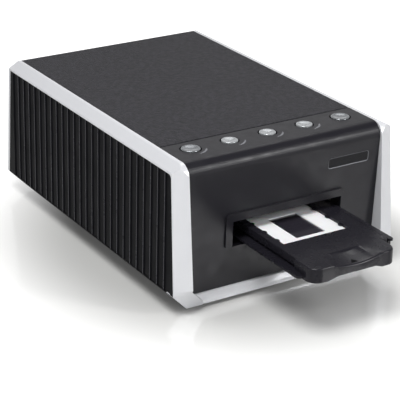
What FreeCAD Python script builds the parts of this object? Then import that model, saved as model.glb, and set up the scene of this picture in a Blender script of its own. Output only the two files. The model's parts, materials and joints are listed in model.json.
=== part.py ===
"""Desktop slide and film scanner: a leaning silver-framed housing with a motor-driven film holder.

Frame: millimetres, +X to the right seen from the front, -Y to the front, +Z up.
The origin lies on the table, under the middle of the whole length from grip to rear panel.
"""
import FreeCAD, Part
import math
import os
import re
import Sketcher
from FreeCAD import Placement, Rotation, Vector

SIZES = [
    ("body_width", 175.0, "housing width at its widest, just above the underside bevel"),
    ("body_depth", 259.0, "housing depth from the front ridge to the rear edge"),
    ("body_height", 104.0, "table to the top panel"),
    ("holder_out", 67.0, "how far the grip stands out of the front ridge"),
    ("foot_height", 2.6, "table to the underside of the base"),
    ("wall", 2.6, "thickness of the moulded shells"),
    ("fit_gap", 0.2, "clearance between parts that are fixed side by side"),
    ("over", 6.0, "how far a cutting block reaches past the face it cuts"),
    ("seat_gap", 0.1, "clearance between a small part and its seat"),
    ("bond", 0.5, "how far joined blocks run into each other"),
    ("side_lean", 1.9, "how far each side leans in from the bevel to the top bar"),
    ("bevel_width", 12.4, "width of the underside bevel along each side"),
    ("bevel_height", 13.0, "height of the underside bevel"),
    ("band_width", 12.2, "width of the silver band seen from above"),
    ("top_bevel_drop", 4.5, "fall of the band's sloping top face"),
    ("top_bevel_run", 7.7, "width of the band's sloping top face"),
    ("front_bevel", 4.2, "how far the band's front face falls back towards the side"),
    ("ridge_lean", 5.2, "how far the front ridge leans back from chin to top"),
    ("chin_height", 16.8, "underside to the point where the front ridge turns under"),
    ("chin_setback", 8.5, "how far the sill lies behind the ridge's lowest point"),
    ("rear_lean", 6.4, "how far the rear leans forward from bevel to top"),
    ("rear_undercut", 8.5, "how far the underside stops short of the rear edge"),
    ("corner_radius", 9.0, "radius between the front panel and the button strip"),
    ("corner_radius_outer", 4.5, "the same radius at the housing's side"),
    ("window_margin", 1.1, "silver left between a bevel and the ribbed panel"),
    ("rear_band", 3.0, "silver left behind the ribbed panel"),
    ("window_radius", 3.0, "front top corner of the ribbed panel"),
    ("rib_pitch", 9.13, "distance between two ridges of the ribbed panels"),
    ("flute_width", 8.2, "width of the flat between two ridges, at its top"),
    ("flute_depth", 0.8, "height of a ridge over the flats"),
    ("ridge_foot", 0.3, "how much wider a ridge is at its foot, on each side"),
    ("rib_panel_thick", 3.2, "thickness of the ribbed panels over the ridges"),
    ("first_flute", 13.1, "front ridge to the middle of the first flat"),
    ("toe_depth", 14.0, "how far the silver toes reach back under the housing"),
    ("toe_width", 12.3, "sideways run of the toe's slanting inner edge"),
    ("toe_rise", 12.7, "rise of the toe's slanting inner edge"),
    ("sill_face", 2.5, "height of the sill's upright front face"),
    ("sill_bevel_rise", 4.7, "rise of the sill's sloping upper face"),
    ("sill_bevel_run", 2.5, "run of the sill's sloping upper face"),
    ("panel_step", 0.5, "front panel behind the ridge at the top"),
    ("panel_foot", 12.0, "front panel behind the ridge's lowest point at the sill"),
    ("cover", 2.4, "thickness of the front cover"),
    ("strip_end", 42.5, "front ridge to the joint behind the button strip"),
    ("joint_gap", 1.3, "width of the joint between the button strip and the top panel"),
    ("ledge_width", 3.3, "ledge of the side frames under the top panel"),
    ("ledge_thick", 2.4, "thickness of that ledge"),
    ("rim_left", -45.8, "left edge of the raised rim round the slot"),
    ("rim_right", 47.0, "right edge of the raised rim"),
    ("rim_low", 37.6, "table to the lower edge of the raised rim"),
    ("rim_high", 62.8, "table to the upper edge of the raised rim"),
    ("rim_rise", 1.5, "how far the rim stands out of the front panel"),
    ("rim_radius", 3.0, "corner radius of the raised rim"),
    ("slot_left", -40.6, "left edge of the slot"),
    ("slot_right", 45.3, "right edge of the slot"),
    ("slot_low", 39.0, "lower edge of the slot"),
    ("slot_high", 57.2, "upper edge of the slot"),
    ("liner_wall", 1.8, "wall of the slot's inner liner"),
    ("liner_end", 19.0, "front ridge to the rear end of the liner"),
    ("badge_side", 25.0, "inner edge of the silver band to the middle of the badge plate"),
    ("badge_z", 82.4, "height of the badge plate's middle"),
    ("badge_width", 33.4, "length of the badge plate"),
    ("badge_height", 7.8, "height of the badge plate"),
    ("badge_sink", 0.9, "depth of the badge plate's pocket"),
    ("badge_gap", 0.3, "front panel's face to the badge plate's face"),
    ("key_depth", 30.8, "front ridge to the row of keys"),
    ("key_side", 16.3, "inner edge of the silver band to the middle of an end key"),
    ("key_radius", 5.6, "radius of the three middle keys"),
    ("end_key_radius", 6.4, "radius of the two end keys"),
    ("key_gap", 1.0, "clearance round each key"),
    ("key_proud", 0.6, "how far a key stands above the strip"),
    ("key_dish", 0.7, "depth of the finger hollow in a key"),
    ("dish_share", 0.82, "share of a key's radius that its finger hollow takes"),
    ("key_flange", 1.7, "width of the flange that keeps a key in"),
    ("key_flange_thick", 1.0, "thickness of that flange"),
    ("key_float", 0.3, "gap between the flange and the cover above it"),
    ("key_stem_radius", 1.8, "radius of a key's stem"),
    ("switch_gap", 0.7, "gap between a key's stem and its switch"),
    ("switch_size", 6.0, "side of a switch body"),
    ("switch_height", 3.5, "height of a switch body"),
    ("plunger_height", 1.0, "how far a switch's plunger stands up"),
    ("plunger_radius", 1.6, "radius of a switch's plunger"),
    ("board", 1.6, "thickness of the circuit boards"),
    ("key_board_drop", 10.4, "top of the cover to the top of the key board"),
    ("boss_radius", 2.5, "radius of the two bosses that carry the key board"),
    ("key_board_half", 8.0, "half the depth of the key board"),
    ("key_board_end", 9.0, "end key's middle to the end of the key board"),
    ("foot_radius", 6.5, "radius of a rubber foot"),
    ("foot_x", 58.0, "sideways distance of the feet"),
    ("foot_front", 30.0, "front ridge to the front feet"),
    ("foot_back", 31.0, "rear edge to the middle of the rear feet"),
    ("foot_sink", 1.0, "depth of the seat that a foot is glued into"),
    ("foot_rim", 0.6, "chamfer round the lower edge of a rubber foot"),
    ("holder_left", -34.0, "left edge of the holder's guide flange"),
    ("holder_right", 44.2, "right edge of the holder over its rack"),
    ("body_left", -28.0, "left side of the holder's body"),
    ("body_right", 40.0, "right side of the holder's body"),
    ("holder_top", 50.0, "table to the holder's top face"),
    ("holder_low", 41.5, "table to the holder's underside"),
    ("flange_thick", 1.5, "thickness of the guide flange"),
    ("side_groove", 1.8, "height of the groove above the flange"),
    ("groove_depth", 2.0, "depth of the groove above the flange"),
    ("holder_length", 248.5, "grip to the holder's rear end"),
    ("rail_end", 15.9, "grip to the front end of the rack strip"),
    ("slide_size", 50.0, "side of a slide mount"),
    ("slide_thick", 1.8, "thickness of a slide mount"),
    ("slide_sink", 1.4, "holder's top face to the slide's top face"),
    ("holder_tail", 28.5, "middle of the last slide to the rear end of the holder"),
    ("slide_x", 2.8, "middle of the slides"),
    ("first_slide", 65.5, "grip to the middle of the first slide"),
    ("pocket_gap", 0.4, "clearance round a slide in its pocket"),
    ("film_width", 22.6, "width of the picture in a slide mount"),
    ("film_length", 34.4, "length of the picture in a slide mount"),
    ("window_extra", 1.6, "how far the holder's windows stand off the picture"),
    ("film_thick", 0.2, "thickness of the film chip"),
    ("lip_reach", 2.2, "how far the front lip covers the first slide"),
    ("clip_thick", 0.8, "thickness of the side clips"),
    ("clip_radius", 2.6, "radius of a side clip's rounded end"),
    ("clip_spread", 15.0, "distance of the clips from a slide's middle"),
    ("clip_gap", 0.1, "clearance between a clip and the slide"),
    ("grip_low", 40.2, "table to the underside of the grip"),
    ("flange_start", 9.5, "grip to the rounded front end of the guide flange"),
    ("flange_tip", 3.5, "radius of the guide flange's front end"),
    ("grip_left", -29.5, "left end of the grip"),
    ("grip_right", 36.5, "right end of the grip"),
    ("grip_depth", 20.0, "length of the thick grip"),
    ("grip_corner", 8.0, "radius of the grip's front corners"),
    ("grip_edge", 1.2, "radius along the grip's upper edge"),
    ("grip_arch", 1.7, "rise of the arch under the grip"),
    ("arch_left", -17.5, "left end of the arch under the grip"),
    ("arch_right", 24.2, "right end of the arch under the grip"),
    ("arch_run_left", 8.0, "width of the arch's left slope"),
    ("arch_run_right", 4.8, "width of the arch's right slope"),
    ("thumb_left", -15.2, "left end of the thumb dish"),
    ("thumb_right", 26.6, "right end of the thumb dish"),
    ("thumb_run", 16.6, "grip's front to the rear end of the thumb dish"),
    ("thumb_depth", 3.1, "depth of the thumb dish at the grip's front"),
    ("thumb_start", 1.2, "depth of the thumb dish at its rear end"),
    ("thumb_corner", 5.5, "radius of the thumb dish's rear corners"),
    ("thumb_round", 1.6, "radius between the thumb dish's floor and its rear wall"),
    ("thumb_bow", 72.0, "radius of the thumb dish's floor from side to side"),
    ("rack_slit", 0.8, "slit between the holder's body and its rack"),
    ("rack_step", 0.4, "guide flange's top to the rack's floor, and rack's top to the holder's top"),
    ("rack_floor", 0.8, "rack's floor to the underside of the pinion"),
    ("gear_module", 0.8, "module of all teeth"),
    ("gear_thick", 3.6, "height of the rack's and the pinions' teeth"),
    ("mesh_ease", 0.12, "extra centre distance that leaves the teeth free"),
    ("pressure_angle", 20.0, "pressure angle of all teeth in degrees"),
    ("tooth_slack", 0.08, "how much each tooth is thinner than its gap"),
    ("motor_angle", 55.0, "direction from the wheel's axis to the motor in degrees"),
    ("pinion_teeth", 20, "teeth of the pinion on the rack"),
    ("wheel_teeth", 32, "teeth of the reduction wheel"),
    ("motor_teeth", 12, "teeth of the motor's pinion"),
    ("wheel_thick", 4.0, "height of the reduction wheel"),
    ("wheel_rise", 2.6, "holder's top to the underside of the reduction wheel"),
    ("hub_radius", 5.0, "radius of the hub between pinion and wheel"),
    ("collar_radius", 3.0, "radius of the collar over the wheel"),
    ("collar_gap", 0.2, "collar to the drive plate"),
    ("drive_depth", 33.0, "front ridge to the pinion's axis"),
    ("pin_radius", 1.5, "radius of the wheel's pin"),
    ("post_radius", 3.8, "radius of the post under the drive gear"),
    ("post_gap", 0.1, "post to the underside of the pinion"),
    ("shaft_play", 0.05, "radial play between a pin and its bore"),
    ("plate_low", 59.2, "table to the drive plate's underside"),
    ("plate_thick", 1.5, "thickness of the drive plate"),
    ("bridge_front", 24.5, "front ridge to the front edge of the drive plate"),
    ("bridge_rear", 68.0, "front ridge to the rear edge of the drive plate"),
    ("bridge_side", 13.0, "holder's left edge to the drive plate's left edge"),
    ("leg_front", 56.0, "front ridge to the front edge of the plate's right leg"),
    ("leg_foot", 6.0, "length of the feet under the drive plate's legs"),
    ("light_half", 15.0, "half the width of the light window over the film"),
    ("light_run", 5.0, "half the length of that window along the travel"),
    ("motor_radius", 12.5, "radius of the stepper motor"),
    ("motor_height", 18.0, "height of the stepper motor"),
    ("motor_shaft", 1.2, "radius of the motor's shaft"),
    ("shaft_reach", 12.0, "length of the shaft inside the motor"),
    ("shaft_hole", 2.2, "radius of the drive plate's hole for the shaft"),
    ("ear_reach", 2.0, "how far the motor's ears stand out"),
    ("ear_half", 3.5, "half the width of the motor's ears"),
    ("ear_thick", 1.0, "thickness of the motor's ears"),
    ("plug_half", 6.0, "half the width of the motor's plug"),
    ("plug_reach", 4.0, "how far the motor's plug stands out"),
    ("plug_low", 2.0, "drive plate to the motor's plug"),
    ("plug_drop", 3.0, "motor's top to the top of its plug"),
    ("guide_wall", 2.0, "wall of the holder's guides"),
    ("guide_lip", 1.2, "thickness of the lip over the guide flange"),
    ("guide_grip", 1.0, "holder's body to the left guide's lower ledge"),
    ("guide_foot", 5.0, "width of the feet under the guides"),
    ("foot_plate", 2.0, "thickness of those feet"),
    ("ledge_reach", 3.0, "how far the right ledge reaches under the holder's body"),
    ("guide_skip", 8.0, "gear axis to the front end of the right guide's foot"),
    ("guide_play", 0.35, "clearance between the holder and its guides"),
    ("guide_front", 26.0, "front ridge to the front end of the guides"),
    ("guide_back", 15.0, "rear edge to the rear end of the guides"),
    ("station", 40.0, "front ridge to the line that the sensor reads"),
    ("lamp_length", 40.0, "length of the lamp tube"),
    ("lamp_radius", 2.0, "radius of the lamp tube"),
    ("lamp_end", 3.0, "lamp's end to the lamp housing's outside"),
    ("lamp_half", 9.0, "half the length of the lamp housing along the travel"),
    ("lamp_wall", 1.5, "wall of the lamp housing"),
    ("lamp_rise", 11.0, "drive plate to the lamp's axis"),
    ("cap_radius", 2.8, "radius of the lamp's end caps"),
    ("cap_length", 3.0, "length of the lamp's end caps"),
    ("lamp_box_height", 20.0, "height of the lamp housing"),
    ("diffuser_half", 18.0, "half the width of the diffuser"),
    ("diffuser_run", 7.2, "half the length of the diffuser along the travel"),
    ("diffuser_thick", 1.6, "thickness of the diffuser"),
    ("optic_height", 22.0, "table to the optical axis under the holder"),
    ("mirror_size", 28.0, "side of the folding mirror"),
    ("mirror_thick", 2.0, "thickness of the folding mirror"),
    ("bench_half", 29.0, "half the width of the optics bench"),
    ("bench_front", 12.0, "line read by the sensor to the bench's front edge"),
    ("bench_tail", 8.0, "sensor board to the bench's rear edge"),
    ("bench_thick", 3.0, "thickness of the bench"),
    ("saddle_half", 13.0, "half the width of a lens saddle"),
    ("saddle_thick", 6.0, "thickness of a lens saddle"),
    ("saddle_front", 5.0, "lens barrel's front to the front saddle"),
    ("saddle_rear", 23.0, "lens barrel's front to the rear saddle"),
    ("stop_high", 9.0, "base floor to the top of the stop behind the sensor board"),
    ("lens_depth", 128.0, "front ridge to the lens barrel's front"),
    ("lens_length", 34.0, "length of the lens barrel"),
    ("lens_radius", 10.0, "radius of the lens barrel"),
    ("glass_radius", 7.5, "radius of the lens glass"),
    ("glass_sink", 2.0, "lens barrel's front to the lens glass"),
    ("glass_thick", 5.0, "thickness of the lens glass"),
    ("sensor_depth", 196.0, "front ridge to the sensor board's front face"),
    ("sensor_top", 36.0, "base floor to the sensor board's upper edge"),
    ("sensor_half", 21.0, "half the length of the line sensor"),
    ("sensor_high", 5.0, "half the height of the line sensor"),
    ("sensor_thick", 3.5, "thickness of the line sensor"),
    ("cell_half", 17.0, "half the length of the sensor's window"),
    ("cell_high", 2.0, "half the height of the sensor's window"),
    ("cell_sink", 0.7, "depth of the sensor's window"),
    ("board_x", -60.0, "left face of the main board"),
    ("board_back", 12.0, "rear edge to the main board's rear edge"),
    ("board_length", 135.0, "length of the main board"),
    ("board_lift", 4.4, "base floor to the main board's lower edge"),
    ("board_clip", 3.0, "thickness of the base ribs that hold the main board"),
    ("clip_step", 50.0, "distance between two of those ribs"),
    ("slot_play", 0.05, "clearance of a board in its slot"),
    ("part_unit", 4.0, "unit of the parts on the main board: a capacitor's radius"),
    ("socket_play", 0.4, "clearance of a socket in the rear panel"),
    ("board_high", 88.0, "table to the main board's upper edge"),
    ("usb_z", 30.0, "table to the middle of the data socket"),
    ("usb_width", 12.0, "width of the data socket"),
    ("usb_height", 11.6, "height of the data socket"),
    ("usb_depth", 17.0, "length of the data socket"),
    ("usb_shell", 1.6, "wall of the data socket"),
    ("usb_recess", 1.0, "data socket's mouth in front of the rear panel's outside"),
    ("power_z", 54.0, "table to the middle of the power inlet"),
    ("inlet_size", 11.5, "side of the power inlet's case"),
    ("inlet_depth", 15.0, "length of the power inlet"),
    ("inlet_nose", 3.4, "length of the power inlet's round nose"),
    ("nose_radius", 4.2, "radius of that nose"),
    ("inlet_bore", 2.8, "radius of the power inlet's hole"),
    ("inlet_pin", 1.0, "radius of the power inlet's pin"),
    ("inlet_reach", 10.0, "depth of the power inlet's hole"),
    ("inlet_recess", 0.6, "power inlet's mouth in front of the rear panel's outside"),
    ("vent_first", 20.0, "middle of the housing to the first vent"),
    ("vent_width", 2.4, "width of a vent"),
    ("vent_pitch", 5.0, "distance between two vents"),
    ("vent_low", 62.0, "table to the lower end of the vents"),
    ("vent_high", 86.0, "table to the upper end of the vents"),
    ("rear_depth", 20.0, "length of the housing form that the rear panel is made from"),
    ("rear_clear", 2.0, "extra length of that form behind the leaning wall"),
    ("screw_side", 24.0, "middle of the slides to a row of case screws"),
    ("screw_front", 70.0, "front ridge to the front case screws"),
    ("screw_rear", 185.0, "front ridge to the rear case screws"),
    ("head_radius", 2.8, "radius of a case screw's head"),
    ("head_thick", 1.2, "thickness of that head"),
    ("screw_radius", 1.45, "radius of a case screw's shank"),
    ("screw_length", 7.0, "length of a case screw's shank"),
    ("cross_half", 1.8, "half the length of the cross in a screw's head"),
    ("cross_width", 0.7, "width of the cross in a screw's head"),
    ("cross_depth", 0.7, "depth of the cross in a screw's head"),
]
SIZE_NAMES = {name for name, value, note in SIZES}

# Places that follow from the sizes above, written as formulas of the sheet.
PLACES = {
    "half_width": "body_width / 2",
    "front_y": "(holder_out - body_depth) / 2",
    "rear_y": "(holder_out + body_depth) / 2",
    "grip_y": "-(holder_out + body_depth) / 2",
    "band_inner": "(half_width - band_width)",
    "bevel_top": "(foot_height + bevel_height)",
    "chin_top": "(foot_height + chin_height)",
    "shoulder": "(body_height - top_bevel_drop)",
    "sill_top": "(foot_height + sill_face + sill_bevel_rise)",
    "floor_top": "(foot_height + wall)",
    "strip_y": "(front_y + strip_end)",
    "slide_top": "(holder_top - slide_sink)",
    "slide_low": "(slide_top - slide_thick)",
    "flange_top": "(holder_low + flange_thick)",
    "groove_top": "(flange_top + side_groove)",
    "rack_x": "(body_right + rack_slit)",
    "pinion_radius": "(gear_module * pinion_teeth / 2)",
    "wheel_radius": "(gear_module * wheel_teeth / 2)",
    "motor_pinion_radius": "(gear_module * motor_teeth / 2)",
    "pitch_line": "(holder_right - gear_module)",
    "drive_x": "(pitch_line + pinion_radius + mesh_ease)",
    "drive_y": "(front_y + drive_depth)",
    "gear_reach": "(wheel_radius + motor_pinion_radius + mesh_ease)",
    "motor_x": "(drive_x + gear_reach * cos(motor_angle))",
    "motor_y": "(drive_y + gear_reach * sin(motor_angle))",
    "picture_y": "(grip_y + first_slide)",
    "plate_top": "(plate_low + plate_thick)",
    "board_face": "(board_x + board)",
    "rack_base": "(flange_top + rack_step)",
    "rack_low": "(rack_base + rack_floor)",
    "rack_cap": "(rack_low + gear_thick + rack_step)",
    "wheel_low": "(holder_top + wheel_rise)",
    "station_y": "(front_y + station)",
    "key_board_top": "(body_height - key_board_drop)",
    "board_low": "(floor_top + board_lift)",
    "badge_x": "(band_inner - badge_side)",
    "key_pitch": "((band_inner - key_side) / 2)",
    "slide_pitch": "((holder_length - first_slide - holder_tail) / 3)",
    "board_y": "(rear_y - board_back - board_length)",
    "bridge_right": "(half_width - bevel_width - wall)",
    "bridge_left": "(holder_left - bridge_side)",
}

doc = FreeCAD.newDocument("slide_scanner")
dims = doc.addObject("Spreadsheet::Sheet", "dims")
for row, (name, value, note) in enumerate(SIZES, start=1):
    dims.set(f"A{row}", note)
    dims.set(f"B{row}", str(value))
    dims.setAlias(f"B{row}", name)
doc.recompute()

PIECES = []
WORD = re.compile(r"[a-z_][a-z0-9_]*")


def formula(text):
    """Write a size or a place by its name; returns the formula that the sheet understands."""
    def spell(match):
        word = match.group(0)
        if word in PLACES:
            return formula(f"({PLACES[word]})")
        if word in SIZE_NAMES:
            return f"dims.{word}"
        return word
    return WORD.sub(spell, str(text))


def bind(item, prop, text):
    """Tie a property to the sheet."""
    item.setExpression(prop, formula(text))


def ridge_back(height):
    """How far the front ridge lies behind its lowest point at a height."""
    return f"(ridge_lean * (({height}) - chin_top) / (body_height - chin_top))"


def lean_in(height):
    """How far the sides lean in at a height."""
    return f"(side_lean * (({height}) - bevel_top) / (shoulder - bevel_top))"


def rear_in(height):
    """How far the rear lies in front of the rear edge at a height."""
    return f"(rear_lean * (({height}) - bevel_top) / (body_height - bevel_top))"


def panel_back(height):
    """How far the front panel lies behind the ridge's lowest point at a height."""
    top = "(ridge_lean + panel_step)"
    return f"({top} + (panel_foot - {top}) * (body_height - ({height})) / (body_height - sill_top))"


def box(name, low_x, high_x, low_y, high_y, low_z, high_z, side=1):
    """A block between two corners; side -1 mirrors it to the left."""
    if side < 0:
        low_x, high_x = f"-({high_x})", f"-({low_x})"
    block = doc.addObject("Part::Box", name)
    bind(block, "Length", f"({high_x}) - ({low_x})")
    bind(block, "Width", f"({high_y}) - ({low_y})")
    bind(block, "Height", f"({high_z}) - ({low_z})")
    bind(block, "Placement.Base.x", low_x)
    bind(block, "Placement.Base.y", low_y)
    bind(block, "Placement.Base.z", low_z)
    return block


AXIS_TURNS = {
    "x": Rotation(Vector(0, 1, 0), 90),
    "y": Rotation(Vector(1, 0, 0), -90),
    "z": Rotation(),
}


def cylinder(name, x, y, z, radius, height, axis="z"):
    """A round bar that starts at a point and runs along a positive axis."""
    bar = doc.addObject("Part::Cylinder", name)
    bar.Placement = Placement(Vector(), AXIS_TURNS[axis])
    bind(bar, "Radius", radius)
    bind(bar, "Height", height)
    bind(bar, "Placement.Base.x", x)
    bind(bar, "Placement.Base.y", y)
    bind(bar, "Placement.Base.z", z)
    return bar


def cut(name, base, *tools):
    """Take tools away from a base."""
    result = doc.addObject("Part::Cut", name)
    result.Base = base
    result.Tool = tools[0] if len(tools) == 1 else fuse(name + "_tools", *tools)
    return result


def fuse(name, *parts):
    """Join parts into one solid."""
    result = doc.addObject("Part::MultiFuse", name)
    result.Shapes = list(parts)
    result.Refine = True
    return result


def common(name, *parts):
    """Keep what all the parts share."""
    result = doc.addObject("Part::MultiCommon", name)
    result.Shapes = list(parts)
    return result


def group(name, *parts):
    """Keep separate solids together as one sub-part."""
    result = doc.addObject("Part::Compound", name)
    result.Links = list(parts)
    return result


def new_sketch(body, plane, offset):
    """A sketch on one of the body's own planes, moved along the plane's normal."""
    sketch = body.newObject("Sketcher::SketchObject", body.Name + "_sketch")
    origin_plane = [item for item in body.Origin.OriginFeatures if item.Role == plane + "_Plane"][0]
    sketch.AttachmentSupport = [(origin_plane, "")]
    sketch.MapMode = "FlatFace"
    bind(sketch, "AttachmentOffset.Base.z", offset)
    return sketch


def set_point(sketch, item, spot, x, y, start):
    """Tie a point of a sketch to two formulas."""
    across = sketch.addConstraint(Sketcher.Constraint("DistanceX", -1, 1, item, spot, start.x))
    along = sketch.addConstraint(Sketcher.Constraint("DistanceY", -1, 1, item, spot, start.y))
    bind(sketch, f"Constraints[{across}]", x)
    bind(sketch, f"Constraints[{along}]", y)


def draw_outline(sketch, points):
    """A closed outline through points given as formulas, in order."""
    count = len(points)
    turn = 2 * math.pi / count
    first = sketch.GeometryCount
    corners = [Vector(math.cos(index * turn), math.sin(index * turn), 0) for index in range(count)]
    for index in range(count):
        line = Part.LineSegment(corners[index], corners[(index + 1) % count])
        sketch.addGeometry(line, False)
    for index in range(count):
        following = first + (index + 1) % count
        sketch.addConstraint(Sketcher.Constraint("Coincident", first + index, 2, following, 1))
    for index, (x, y) in enumerate(points):
        set_point(sketch, first + index, 1, x, y, corners[index])


def draw_circle(sketch, x, y, radius):
    """A circle whose centre and radius are formulas."""
    circle = sketch.addGeometry(Part.Circle(Vector(1, 1, 0), Vector(0, 0, 1), 1), False)
    set_point(sketch, circle, 3, x, y, Vector(1, 1, 0))
    size = sketch.addConstraint(Sketcher.Constraint("Radius", circle, 1.0))
    bind(sketch, f"Constraints[{size}]", radius)


def prism(name, plane, start, length, points):
    """A body whose outline is padded along its plane's normal."""
    body = doc.addObject("PartDesign::Body", name)
    sketch = new_sketch(body, plane, start)
    draw_outline(sketch, points)
    pad = body.newObject("PartDesign::Pad", name + "_pad")
    pad.Profile = sketch
    bind(pad, "Length", length)
    doc.recompute()
    return body


def round_edges(body, radius, chosen):
    """Fillet the body's edges that the test picks."""
    tip = body.Tip
    names = [f"Edge{index}" for index, edge in enumerate(tip.Shape.Edges, start=1) if chosen(edge)]
    fillet = body.newObject("PartDesign::Fillet", body.Name + "_fillet")
    fillet.Base = (tip, names)
    bind(fillet, "Radius", radius)
    doc.recompute()
    return body


def runs_along(edge, axis):
    """True for a straight edge parallel to an axis."""
    if not isinstance(edge.Curve, Part.Line):
        return False
    return abs(edge.Curve.Direction.dot(axis)) > 0.999


def pocket_outline(body, plane, offset, points):
    """Cut an outline through the whole body."""
    sketch = new_sketch(body, plane, offset)
    draw_outline(sketch, points)
    pocket = body.newObject("PartDesign::Pocket", body.Name + "_hole")
    pocket.Profile = sketch
    pocket.Type = "ThroughAll"
    pocket.Midplane = True
    doc.recompute()
    return pocket


def piece(label, item):
    """Name a finished sub-part."""
    item.Label = label
    PIECES.append(item)
    return item


X_AXIS = Vector(1, 0, 0)
Z_AXIS = Vector(0, 0, 1)
BIG = 400
VENT_NUMBERS = range(8)
# Places on the main board in part units: along the board, up, side, thickness.
CHIP_PLACES = ((5.5, 5, 6, 0.5), (14, 6, 4, 0.4), (20.5, 13, 3, 0.4), (7.5, 13.5, 3.5, 0.4))
CAPACITOR_PLACES = ((27, 16.5), (24, 16.5), (17.5, 2.5), (21, 2.5))


# ---------------------------------------------------------------- housing form

def housing_form(name, inset):
    """The housing as a ruled loft through level outlines, all faces moved in by an inset."""
    chin_at_bevel = "chin_setback * (chin_height - bevel_height) / chin_height"
    levels = [
        # height, ridge x, ridge setback, side x, side setback, rear setback
        (f"foot_height + {inset}", "band_inner - toe_width", "chin_setback",
         f"half_width - bevel_width + 0.4 * {inset}", "chin_setback + 0.3", "rear_undercut"),
        ("bevel_top", "band_inner + 0.6", chin_at_bevel,
         "half_width", "front_bevel + 0.2", "0"),
        ("chin_top", "band_inner + 0.6", "0",
         f"half_width - {lean_in('chin_top')}", "front_bevel", rear_in("chin_top")),
        ("shoulder", "band_inner + 0.3", ridge_back("shoulder"),
         "half_width - side_lean", f"front_bevel + {ridge_back('shoulder')}", rear_in("shoulder")),
        (f"body_height - {inset}", f"band_inner + 0.2 * {inset}", "ridge_lean",
         f"half_width - side_lean - top_bevel_run + 0.6 * {inset}", "ridge_lean + 1.1", "rear_lean"),
    ]
    sections = []
    body = doc.addObject("PartDesign::Body", name)
    for height, ridge_x, ridge_back_by, side_x, side_back_by, rear_by in levels:
        sketch = new_sketch(body, "XY", height)
        ridge_x = f"({ridge_x}) - {inset}"
        side_x = f"({side_x}) - {inset}"
        ridge_y = f"front_y + {ridge_back_by} + {inset}"
        side_y = f"front_y + {side_back_by} + {inset}"
        end_y = f"rear_y - ({rear_by}) - {inset}"
        draw_outline(sketch, [
            (f"-({ridge_x})", ridge_y), (ridge_x, ridge_y),
            (side_x, side_y), (side_x, end_y),
            (f"-({side_x})", end_y), (f"-({side_x})", side_y),
        ])
        sections.append(sketch)
    loft = body.newObject("PartDesign::AdditiveLoft", name + "_loft")
    loft.Profile = sections[0]
    loft.Sections = sections[1:]
    loft.Ruled = True
    doc.recompute()
    return body


def corner_block(name, start, length, first_radius, last_radius):
    """A block that holds part of the housing and rounds its front top edge."""
    low_ridge = f"front_y + {ridge_back('0')}"
    top_ridge = f"front_y + {ridge_back('body_height')}"
    block = prism(name, "YZ", start, length, [
        (low_ridge + " - 20", "-10"), (low_ridge + " - 20", "chin_top + 10"),
        (f"front_y + {ridge_back('chin_top + 10')}", "chin_top + 10"),
        (top_ridge, "body_height"), ("rear_y + 20", "body_height"), ("rear_y + 20", "-10"),
    ])
    corner_y = dims.get("ridge_lean") + front_y()
    rounding = doc.addObject("Part::Fillet", name + "_rounding")
    rounding.Base = block
    chosen = []
    for index, edge in enumerate(block.Shape.Edges, start=1):
        middle = edge.CenterOfMass
        near_top = abs(middle.z - dims.get("body_height")) < 0.01
        if runs_along(edge, X_AXIS) and near_top and abs(middle.y - corner_y) < 0.01:
            rises = edge.Vertexes[0].X < edge.Vertexes[-1].X
            ends = (first_radius, last_radius) if rises else (last_radius, first_radius)
            chosen.append((index, *ends))
    rounding.Edges = chosen
    doc.recompute()
    return rounding


def rounded_block():
    """The front top edge: one radius between the bands, a tighter one towards each side."""
    inner = dims.get("corner_radius")
    outer = dims.get("corner_radius_outer")
    middle = corner_block("corner_middle", "-band_inner", "2 * band_inner", inner, inner)
    right = corner_block("corner_right", "band_inner", "band_width", inner, outer)
    left = corner_block("corner_left", "-half_width", "band_width", outer, inner)
    return fuse("corner_blocks", middle, right, left)


def front_y():
    """The front ridge's place as a number."""
    return (dims.get("holder_out") - dims.get("body_depth")) / 2


outer_form = housing_form("outer_form", "0")
inner_form = housing_form("inner_form", "wall")
outer_round = common("outer_round", outer_form, rounded_block())
shell = cut("housing_shell", outer_round, inner_form)


# ---------------------------------------------------------------- silver frames and sides

def window_front(height):
    """Front edge of the opening for the ribbed panel."""
    return f"(front_y + front_bevel + {ridge_back(height)} + window_margin)"


def window_rear(height):
    """Rear edge of the opening for the ribbed panel."""
    return f"(rear_y - {rear_in(height)} - rear_band)"


WINDOW_TOP = "(shoulder - window_margin)"


def window_prism(name, start, length, gap):
    """The side opening's outline, made smaller by a gap, padded across a side wall."""
    low = f"(bevel_top + {gap})"
    high = f"({WINDOW_TOP} - {gap})"
    body = prism(name, "YZ", start, length, [
        (f"{window_front(low)} + {gap}", low), (f"{window_front(high)} + {gap}", high),
        (f"{window_rear(high)} - {gap}", high), (f"{window_rear(low)} - {gap}", low),
    ])
    top = body.Shape.BoundBox.ZMax
    middle_y = body.Shape.BoundBox.Center.y

    def at_front_top(edge):
        middle = edge.CenterOfMass
        return runs_along(edge, X_AXIS) and middle.z > top - 0.01 and middle.y < middle_y

    return round_edges(body, "window_radius", at_front_top)


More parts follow.
